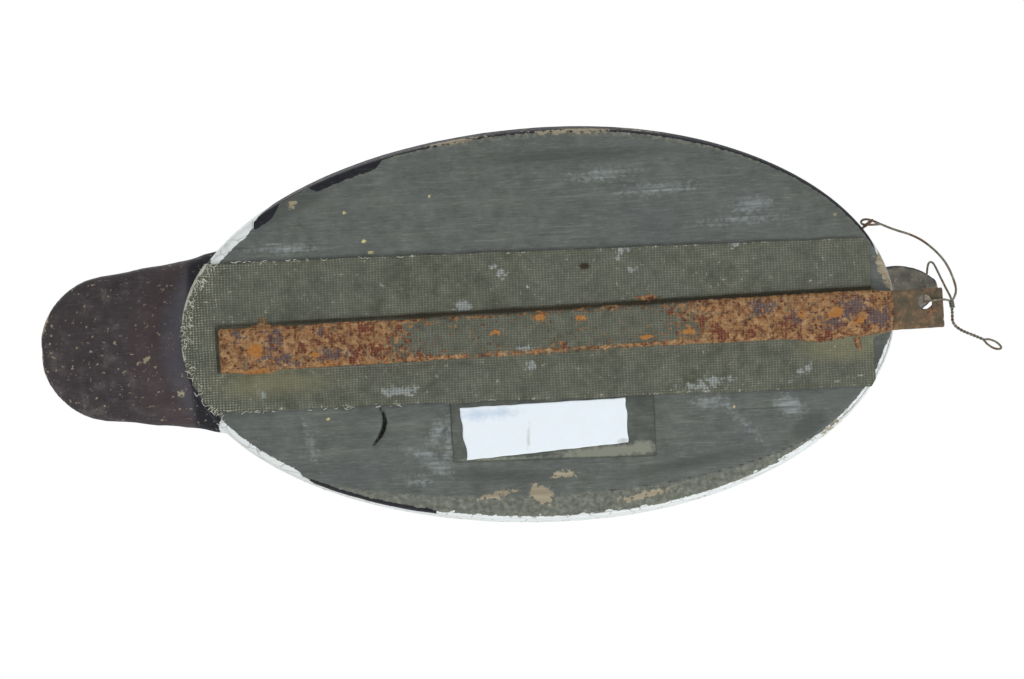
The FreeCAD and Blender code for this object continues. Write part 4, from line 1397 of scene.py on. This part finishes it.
        # rows crowd together where the cloth climbs the bar's two edges
        grid = np.linspace(-0.5, 0.5, 400)
        spread = 1.0
        for edge in (-self.half - 0.8, self.half + 0.8):
            spread = spread + 2.6 * np.exp(-(((grid * self.width - 3.4 - edge) / 1.9) ** 2))
        length = np.concatenate([[0], np.cumsum(1 / ((spread[1:] + spread[:-1]) / 2))])
        across = np.interp(across * length[-1], length, grid)
        y = across * self.width
        stern = self.outline.stern(y) + 0.6
        breast = self.outline.end(y, 1)
        front = breast.max()
        lobe = ramp(-np.abs(y - 2.2), -self.half - 2.4, -self.half - 0.6)
        cloth_end = np.minimum(front - self.setback + lobe * self.setback, breast - 0.7)
        x = stern + along * (cloth_end - stern)
        y = y + math.tan(math.radians(self.skew)) * x * (1 - ramp(-np.abs(y - 3), -14, -9))
        edge_wave = ramp(np.abs(across), 0.46, 0.5)
        y = y + edge_wave * 0.7 * wobble(xyz(x, 0), 14, 1)
        flat = self.outline.height - self.thickness
        off = np.abs(self.from_bar(x, y)) - self.half
        past = self.stern_end - x
        climb = np.maximum(off, past)
        rise = 1 - ramp(climb, 0.1, 1.75)
        z = flat * (1 - rise)
        sag = 0.22 * ramp(climb, 0.2, 2.0) * (1 - ramp(climb, 2.0, 5.5))
        place = xyz(x, y)
        blister = 0.5 * self.rust_on(x, y).clip(-1, 1.5) * np.abs(wobble(place, 3.4, 2))
        blister = blister * (rise > 0.9)
        z = z + sag * 0.4 + np.maximum(0, blister) + 0.08 * (wobble(place, 9, 4) + 1) * (rise < 0.5)
        laid(piece, xyz(x, y, z.clip(0)), self.thickness - 0.25)
        self.canvas_fields(piece)
        dress(piece, PaintedCanvas().build())
        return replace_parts(piece, "canvas_strip")

    def rust_on(self, x: Array, y: Array) -> Array:
        """Millimetres inside the rust: heavy near both ends of the covered bar, specks between, and a band
        along the bar's left edge that is partly a painted highlight.
        """
        off = self.from_bar(x, y)
        band = np.minimum(self.half + 0.9 - np.abs(off), x - self.stern_end + 1.0)
        place = xyz(x, y)
        drift = wobble(place, 18, 6)
        rear = ramp(-x + 12 * drift, 42, 98)
        fore = ramp(x + 10 * drift, 56, 100)
        heavy = np.maximum(rear, fore)
        level = -0.42 + 1.45 * heavy + 0.25 * wobble(place, 5, 12)
        # more rust along the bar's left edge, partly a painted highlight where the light from that side
        # catches the edge
        rust_and_highlight_edge = 1.35 * np.exp(-((off - self.half + 0.2) ** 2)) * ramp(-np.abs(x), -158, -150)
        right_edge = 0.8 * np.exp(-(((off + self.half - 0.6) / 0.8) ** 2))
        right_edge = right_edge * (wobble(place, 16, 9) + 0.4)
        level = level + rust_and_highlight_edge + right_edge
        level = np.minimum(level, band * 1.6 + 0.2)
        return np.where(band > 0, level, np.maximum(AWAY, band * 1.5 + 0.1))

    def canvas_fields(self, piece: Piece) -> None:
        """Works out where the canvas is rusted, stained, frayed and rubbed, and where shadow is painted
        beside the bar.
        """
        points = points_of(piece)
        x, y, _ = points.T
        off = self.from_bar(x, y)
        stern = x - self.outline.stern(y)
        fray = 0.32 + 0.9 * ramp(-stern, -42, 0) + 0.6 * ramp(np.abs(y - self.drift * x), 33, 35.5)
        # painted shadow: a dark line just beside the bar's right edge, where the bar's step shades the
        # canvas
        line = 1.35 - np.abs(off + self.half + 1.5) + 0.35 * wobble(points, 15, 3)
        line = np.minimum(line, (x - self.stern_end + 1) * 0.3)
        # painted shadow: a dark line at the bar's stern end
        end_shadow_line = 0.8 - np.abs(x - self.stern_end + 1.9)
        end_shadow_line = np.minimum(end_shadow_line, self.half + 1 - np.abs(off))
        halos = inside(points, self.halos)
        red, orange = inside(points, self.reds), inside(points, self.oranges)
        drips = inside(points, self.drips)
        rust = np.maximum.reduce([self.rust_on(x, y), red + 0.2, orange + 0.2, drips])
        cut_edges = 0.5 * ramp(-np.abs(np.abs(y - self.drift * x) - 35.0), -1.0, 0) - 1.2
        store(
            piece,
            rust=rust,
            halo=np.where(np.abs(off) > self.half, halos, AWAY),
            fray=fray,
            edge=np.maximum(0.7 - stern + 0.5 * wobble(points, 7, 8), cut_edges),
            soot=np.maximum.reduce([line, end_shadow_line, inside(points, self.soots)]),
            scuff=inside(points, self.scuffs),
            violet=inside(points, self.violets) - 0.9,
            red=red,
            orange=orange,
        )

    def frayed_threads(self) -> Piece:
        """Makes the loose cotton ends round the stern of the canvas, one thread copied and bent."""
        deselect()
        bpy.ops.mesh.primitive_cylinder_add(vertices=5, radius=0.5, depth=1.0, end_fill_type="TRIFAN")
        master = bpy.context.view_layer.objects.active
        bpy.ops.object.mode_set(mode="EDIT")
        bpy.ops.mesh.select_all(action="SELECT")
        for height in (-0.25, 0.0, 0.25):
            bpy.ops.mesh.bisect(plane_co=(0, 0, height), plane_no=(0, 0, 1))
            bpy.ops.mesh.select_all(action="SELECT")
        bpy.ops.object.mode_set(mode="OBJECT")
        rng = np.random.default_rng(11)
        made = []
        shape = points_of(master) * MM
        for _ in range(self.threads):
            long_side = rng.random() < 0.2
            y = rng.uniform(-self.reach, self.reach)
            x = float(self.outline.stern(np.array([y]))[0]) + rng.uniform(1.0, 5.0)
            turn = rng.uniform(-0.9, 0.9) + (math.pi / 2 if rng.random() < 0.6 else 0)
            if long_side:
                x = rng.uniform(-166, -60)
                y = self.cut[0] if rng.random() < 0.6 else self.cut[1]
                y = y + self.drift * x + rng.uniform(-0.4, 0.4)
                turn = rng.uniform(-0.5, 0.5)
                middle, half_long, half_wide = self.oval
                if abs(y) > half_wide * math.sqrt(max(0.0, 1 - ((x - middle) / half_long) ** 2)):
                    continue
            limits = ((0.8, 3.4), (0.22, 0.42), (-0.35, 0.35))
            size, thick, bend = (rng.uniform(*pair) for pair in limits)
            copy = duplicate(master)
            run = shape[:, 2] * size
            side = shape[:, 1] * thick + bend * size * (4 * shape[:, 2] ** 2 - 0.5)
            height = 3.0 + shape[:, 0] * thick + 0.25 * rng.random() - 0.3 * np.abs(shape[:, 2])
            cos, sin = math.cos(turn), math.sin(turn)
            move_points(copy, xyz(x + run * cos - side * sin, y + run * sin + side * cos, height))
            made.append(copy)
        bpy.data.objects.remove(master)
        piece = joined("canvas_threads", made)
        dress(piece, THREAD.build())
        return piece

    def build(self) -> None:
        """Makes the bar, canvas and threads, and refinishes the screws inside."""
        self.bar()
        cloth = self.canvas()
        ends = self.frayed_threads()
        redress(self.nodes["bar_screws"], STEEL.build())


@dataclass
class Labels:
    """A blank cotton tape on an older tape that was painted over."""

    outline: Outline
    tape: float = 0.25
    worn: Spots = places((30, 62.2, 22, 2.6, -1), (47, 61, 6, 3), (-20, 63.2, 14, 0.8, 1))
    ink: Spots = places((-31, 41.2, 5, 2.6), (-19, 40.8, 4.5, 2.2), (-27, 41, 11, 1.6))
    soil: Spots = places((-7, 54, 0.5, 4, 6), (-6, 62, 3, 0.7), (38, 57.5, 2.5, 1.2))
    patch_corners: Corners = ((-43.4, 31.9), (54.0, 34.6), (53.6, 65.6), (-43.4, 63.3))
    label_corners: Corners = ((-38.7, 37.6), (40.4, 36.9), (40.7, 58.3), (-36.4, 62.6))

    def strip(self, name: str, corners: Corners, low: float, grid: tuple[int, int], wave: float) -> Piece:
        """Cuts a strip of tape and lays it down.

        Args:
            name: the piece's name.
            corners: its corners in order round it, the first at the stern and nearest the bar.
            low: the height of its outer face.
            grid: its divisions along and across.
            wave: how far its cut ends wander, in millimetres.

        Returns:
            The strip, as thick as the tape.
        """
        piece, u, v = flat_grid(name, *grid)
        c = [np.array(corner)[:, None] for corner in corners]
        x, y = (1 - u) * ((1 - v) * c[0] + v * c[3]) + u * ((1 - v) * c[1] + v * c[2])
        ends = np.abs(2 * u - 1) ** 6
        sides = np.abs(2 * v - 1) ** 8
        x = x + wave * ends * (wobble(xyz(u * 3, v * 26), 6, 2) * 1.6)
        y = y + 0.25 * sides * wobble(xyz(u * 80, v * 9), 7, 3)
        lift = 0.05 * wobble(xyz(x, y), 8, 5) * (wave > 0.5)
        return laid(piece, xyz(x, y, low + np.abs(lift)), self.tape * 0.8)

    def build(self) -> None:
        """Lays the patch and the label over it."""
        board = self.outline.height
        low = board - self.tape
        patch = self.strip("label_patch_painted", self.patch_corners, low, (98, 31), 0.3)
        points = points_of(patch)
        x, y, _ = points.T
        reach = np.minimum(49 - np.abs(x - 5), 15.5 - np.abs(y - 49 - 0.02 * x))
        store(patch, edge=0.7 - reach, worn=inside(points, self.worn))
        dress(patch, PaintedCloth().build())
        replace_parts(patch, "label_patch")
        low = board - 2 * self.tape
        label = self.strip("tape_label_cotton", self.label_corners, low, (120, 40), 0.75)
        points = points_of(label)
        store(label, ink=inside(points, self.ink), soil=inside(points, self.soil))
        dress(label, CottonTape().build())
        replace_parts(label, "tape_label")


# ---- the line tie


@dataclass
class WireTie:
    """The screw eye in the board, and the bent wire that ties the anchor line to it."""

    nodes: dict
    joint: dict
    wire: float = 1.1
    strand: float = 0.62
    screw_grain: float = 0.28
    pitch: float = 3.4
    bow: Route = (
        (0.0, 0.0, 0.0), (0.06, 0.05, 0.02), (0.19, 0.11, 0.02), (0.37, 0.205, 0.03),
        (0.54, 0.235, 0.03), (0.72, 0.225, 0.02), (0.88, 0.16, 0.01), (0.99, 0.085, 0.0),
        (1.0, 0.0, 0.0),
    )
    hook: Route = ((-2.4, 1.0, 0.2), (-3.6, -0.9, 1.4), (-1.8, -2.2, 1.5), (1.4, -1.6, 0.5))
    over: Route = (
        (1.6, -5, 8.6), (3.4, -12, 10.4), (4.1, -17, 11), (5.2, -19.2, 11), (6.9, -18.6, 10.6),
        (8, -15.8, 9.6), (9.6, -10.4, 6), (10.8, -5.6, 1.2),
    )
    twist: Route = ((0, 0, 0), (0.3, 4.6, 0), (-0.2, 10.4, 0), (4.2, 14.2, 0), (10, 16.6, 0), (15, 19.2, 0))
    loop: Route = (
        (14.6, 18.9, 0.05), (17.0, 18.7, -0.1), (20.4, 20.3, -0.1), (22.7, 22.6, -0.1),
        (22.2, 23.9, -0.1), (19.3, 23.5, -0.1), (16.2, 21.4, -0.1), (14.8, 19.6, 0.05),
    )

    def __post_init__(self) -> None:
        """Works out the tie's end points from the joint and the bar."""
        self.eye = Vector(self.joint["pos_m"]) / MM
        axis = Vector(self.joint["axis"])
        low, high = (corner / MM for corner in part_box("ballast_bar"))
        self.hole = self.eye + axis * ((self.eye.z - (low.z + high.z) / 2) / -axis.z)
        self.bar_end, self.bar_under = high.x, low.z
        self.knot = Vector((self.bar_end + 3.6, self.hole.y + 0.7, self.bar_under - 0.05))

    def drawn(self, name: str, route: list[Vector], size: float, closed: bool = False) -> Piece:
        """Bends a wire along a route.

        Args:
            name: the piece's name.
            route: the points it is bent towards, in millimetres.
            size: the wire's diameter in millimetres, or 0 for its bare middle line.
            closed: whether its end meets its start.

        Returns:
            The wire as a mesh.
        """
        deselect()
        bpy.ops.curve.primitive_nurbs_path_add()
        piece = bpy.context.view_layer.objects.active
        data = piece.data
        data.splines.clear()
        spline = data.splines.new("NURBS")
        spline.points.add(len(route) - 1)
        for point, place in zip(spline.points, route):
            point.co = (*(place * MM), 1.0)
        spline.order_u = 3
        spline.use_endpoint_u = not closed
        spline.use_cyclic_u = closed
        spline.resolution_u = 8
        data.bevel_depth, data.bevel_resolution = size / 2 * MM, 3
        data.use_fill_caps = size > 0 and not closed
        pick(piece)
        bpy.ops.object.convert(target="MESH")
        return in_place(named(name))

    def span(self, share: tuple[float, float, float]) -> Vector:
        """A place on the bow, as shares of the span along, out from and above it."""
        run = self.knot - self.eye
        out = Vector((run.y, -run.x, 0)).normalized()
        above = Vector((0, 0, run.length * share[2]))
        return self.eye + run * share[0] + out * run.length * share[1] + above

    def bail(self) -> Piece:
        """Bends the bow, its open hook round the screw eye and its turn at the knot."""
        bow = [self.span(share) for share in self.bow]
        start = bow[1]
        hook = steps(self.eye, self.hook)
        return self.drawn("tie_bail", [start + Vector((1.2, 0.2, 0.1)), *hook, *bow[2:]], self.wire)

    def hairpin(self) -> Piece:
        """Bends the doubled wire that goes up through the hole and back over the bar's edge."""
        hole = self.hole
        route = [
            self.knot,
            Vector((self.bar_end + 1.2, hole.y - 0.9, self.bar_under - 0.55)),
            Vector((hole.x + 2, hole.y - 0.2, self.bar_under - 0.64)),
            Vector((hole.x, hole.y, self.bar_under - 0.5)),
            Vector((hole.x - 0.2, hole.y, self.bar_under + 2.5)),
            Vector((hole.x, hole.y, self.bar_under + 5.8)),
            *steps(hole, self.over),
            self.knot + Vector((0.2, -1.6, 0.3)),
            self.knot,
        ]
        return self.drawn("tie_hairpin", route, self.wire * 0.95)

    def strands(self) -> list[Piece]:
        """Twists the two strands that run from the knot to the line eye."""
        guide = self.drawn("tie_guide", steps(self.knot, self.twist), 0)
        middle = points_of(guide)
        bpy.data.objects.remove(guide)
        travel = np.concatenate([[0], np.cumsum(np.linalg.norm(np.diff(middle, axis=0), axis=1))])
        marks = np.arange(0, travel[-1], self.pitch / 8)
        line = np.stack([np.interp(marks, travel, middle[:, axis]) for axis in range(3)], 1)
        heading = np.gradient(line, axis=0)
        heading /= np.linalg.norm(heading, axis=1)[:, None]
        side = np.stack([-heading[:, 1], heading[:, 0], heading[:, 2] * 0], 1)
        made = []
        for half in (0.0, math.pi):
            turn = marks / self.pitch * 2 * math.pi + half
            round_it = side * np.cos(turn)[:, None] + np.array([0, 0, 1.0]) * np.sin(turn)[:, None]
            offset = self.strand * 0.62 * round_it
            route = [Vector(p) for p in line + offset]
            made.append(self.drawn("tie_strand", route, self.strand * 1.25))
        return made

    def tie(self) -> Piece:
        """Joins the bail, hairpin, strands, wrappings and line eye in one piece."""
        wraps = []
        for turn in range(4):
            height = turn * 0.75 - 1.0
            ring = [
                self.knot
                + Vector((0.1 * turn + 1.05 * math.cos(a), height + 0.12 * a + 0.9, 0.95 * math.sin(a)))
                for a in np.linspace(0, 2 * math.pi, 9)[:-1]
            ]
            wraps.append(self.drawn("tie_wrap", ring, self.strand * 1.1, closed=True))
        eye = self.drawn("tie_line_eye", steps(self.knot, self.loop), self.wire * 0.95, closed=True)
        piece = joined("wire_tie_bent", [self.bail(), self.hairpin(), eye, *self.strands(), *wraps])
        points = points_of(piece)
        points += normals_of(piece) * (0.05 * wobble(points, 1.6))[:, None]
        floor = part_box("wire_tie")[0].z / MM
        points[:, 2] = points[:, 2].clip(max(floor, 0.0) + 0.02)
        move_points(piece, points)
        dress(piece, AgedWire().build(), Body.LINE_TIE)
        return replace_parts(piece, "wire_tie")

    def screw_eye(self) -> Piece:
        """Makes the rusted screw eye in the edge of the board."""
        piece = copied("screw_eye_rusted", self.nodes["screw_eye"], self.screw_grain)
        relax(piece, np.full(len(piece.data.vertices), 0.5), 2)
        points = points_of(piece)
        move_points(piece, points + normals_of(piece) * (0.14 * wobble(points, 1.5))[:, None])
        dress(piece, AgedWire(zinc="#6a5a45", rusted=0.4).build())
        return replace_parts(piece, "screw_eye")

    def build(self) -> None:
        """Makes the screw eye and the wire."""
        self.screw_eye()
        self.tie()


# ---- the studio


@dataclass
class Studio:
    """A plain pale floor, soft light and a camera that looks straight up at the flat bottom."""

    camera_place: tuple[float, float, float] = (-12.3, 6.3, -1150.0)
    turn: float = 3.1
    lens: float = 85.0
    floor_size: float = 9.0
    drop: float = 0.6
    fill: float = 0.84
    key: float = 6.6

    def hung(self, name: str, data: bpy.types.ID) -> Piece:
        """A new camera or lamp in the scene."""
        thing = bpy.data.objects.new(name, data)
        bpy.context.scene.collection.objects.link(thing)
        return thing

    def camera(self) -> None:
        """Places the camera below the decoy."""
        data = bpy.data.cameras.new("camera_below")
        data.lens, data.sensor_width = self.lens, 36.0
        data.clip_start, data.clip_end = 0.05, 20.0
        camera = self.hung("camera_below", data)
        angle = math.radians(self.turn)
        right = Vector((math.cos(angle), math.sin(angle), 0))
        up = Vector((math.sin(angle), -math.cos(angle), 0))
        turn = Matrix((right, up, right.cross(up))).transposed()
        camera.matrix_world = Matrix.Translation(Vector(self.camera_place) * MM) @ turn.to_4x4()
        bpy.context.scene.camera = camera

    def light(self, name: str, place: tuple[float, float, float], size: float, power: float) -> None:
        """Hangs a soft square light that faces the decoy."""
        data = bpy.data.lights.new(name, "AREA")
        data.shape, data.size, data.energy = "SQUARE", size, power
        lamp = self.hung(name, data)
        lamp.location = place
        lamp.rotation_euler = (-Vector(place)).to_track_quat("-Z", "Y").to_euler()
        lamp.visible_camera = False

    def floor(self) -> None:
        """Lays the floor, which can't be seen from below and lets the lower lights through."""
        deselect()
        bpy.ops.mesh.primitive_plane_add(size=self.floor_size, location=(0, 0, -self.drop * MM))
        floor = named("floor")
        r = Recipe("pale_floor")
        paper = r.add("TexNoise", {"Vector": r.place, "Scale": 3.0, "Detail": 3})
        colour = r.add("ValToRGB", {"Fac": paper}, stops=((0.3, "#e9e9e8"), (0.7, "#efefee")))
        shader = r.add("BsdfPrincipled", {"Base Color": colour, "Roughness": 0.8})
        clear = r.add("BsdfTransparent")
        back = r.add("NewGeometry", out="Backfacing")
        r.add("OutputMaterial", {"Surface": r.add("MixShader", {0: back, 1: shader, 2: clear})})
        floor.data.materials.append(r.owner)
        for ray in ("shadow", "diffuse", "glossy", "transmission"):
            setattr(floor, f"visible_{ray}", False)

    def world(self) -> None:
        """Sets a white surround that gives softer light than it shows."""
        world = bpy.data.worlds.new("white_surround")
        r = Recipe("white_surround", world)
        shown = r.add("Background", {"Color": shade("#ffffff")})
        lit = r.add("Background", {"Color": shade("#f4f7fa"), "Strength": self.fill})
        seen = r.add("LightPath", out="Is Camera Ray")
        r.add("OutputWorld", {"Surface": r.add("MixShader", {0: seen, 1: lit, 2: shown})})
        bpy.context.scene.world = world

    def build(self) -> None:
        """Sets up the whole studio."""
        self.camera()
        self.world()
        self.floor()
        self.light("key_below_left", (0.55, 0.95, -0.85), 0.5, self.key)
        self.light("fill_above", (-0.6, -0.9, 1.4), 1.4, self.key * 1.6)
        bpy.context.scene.view_settings.view_transform = "Standard"


def main() -> None:
    """Builds the decoy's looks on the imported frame."""
    logging.basicConfig(level=logging.INFO, format="%(name)s %(message)s")
    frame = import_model()
    nodes = frame["nodes"]
    outline = Outline(nodes["bottom_board"])
    Studio().build()
    PaintedBody(nodes, outline).build()
    CarvedHead(nodes).build()
    Ballast(nodes, outline).build()
    Labels(outline).build()
    WireTie(nodes, frame["joints"][0]).build()
    deselect()


if __name__ == "__main__":
    main()
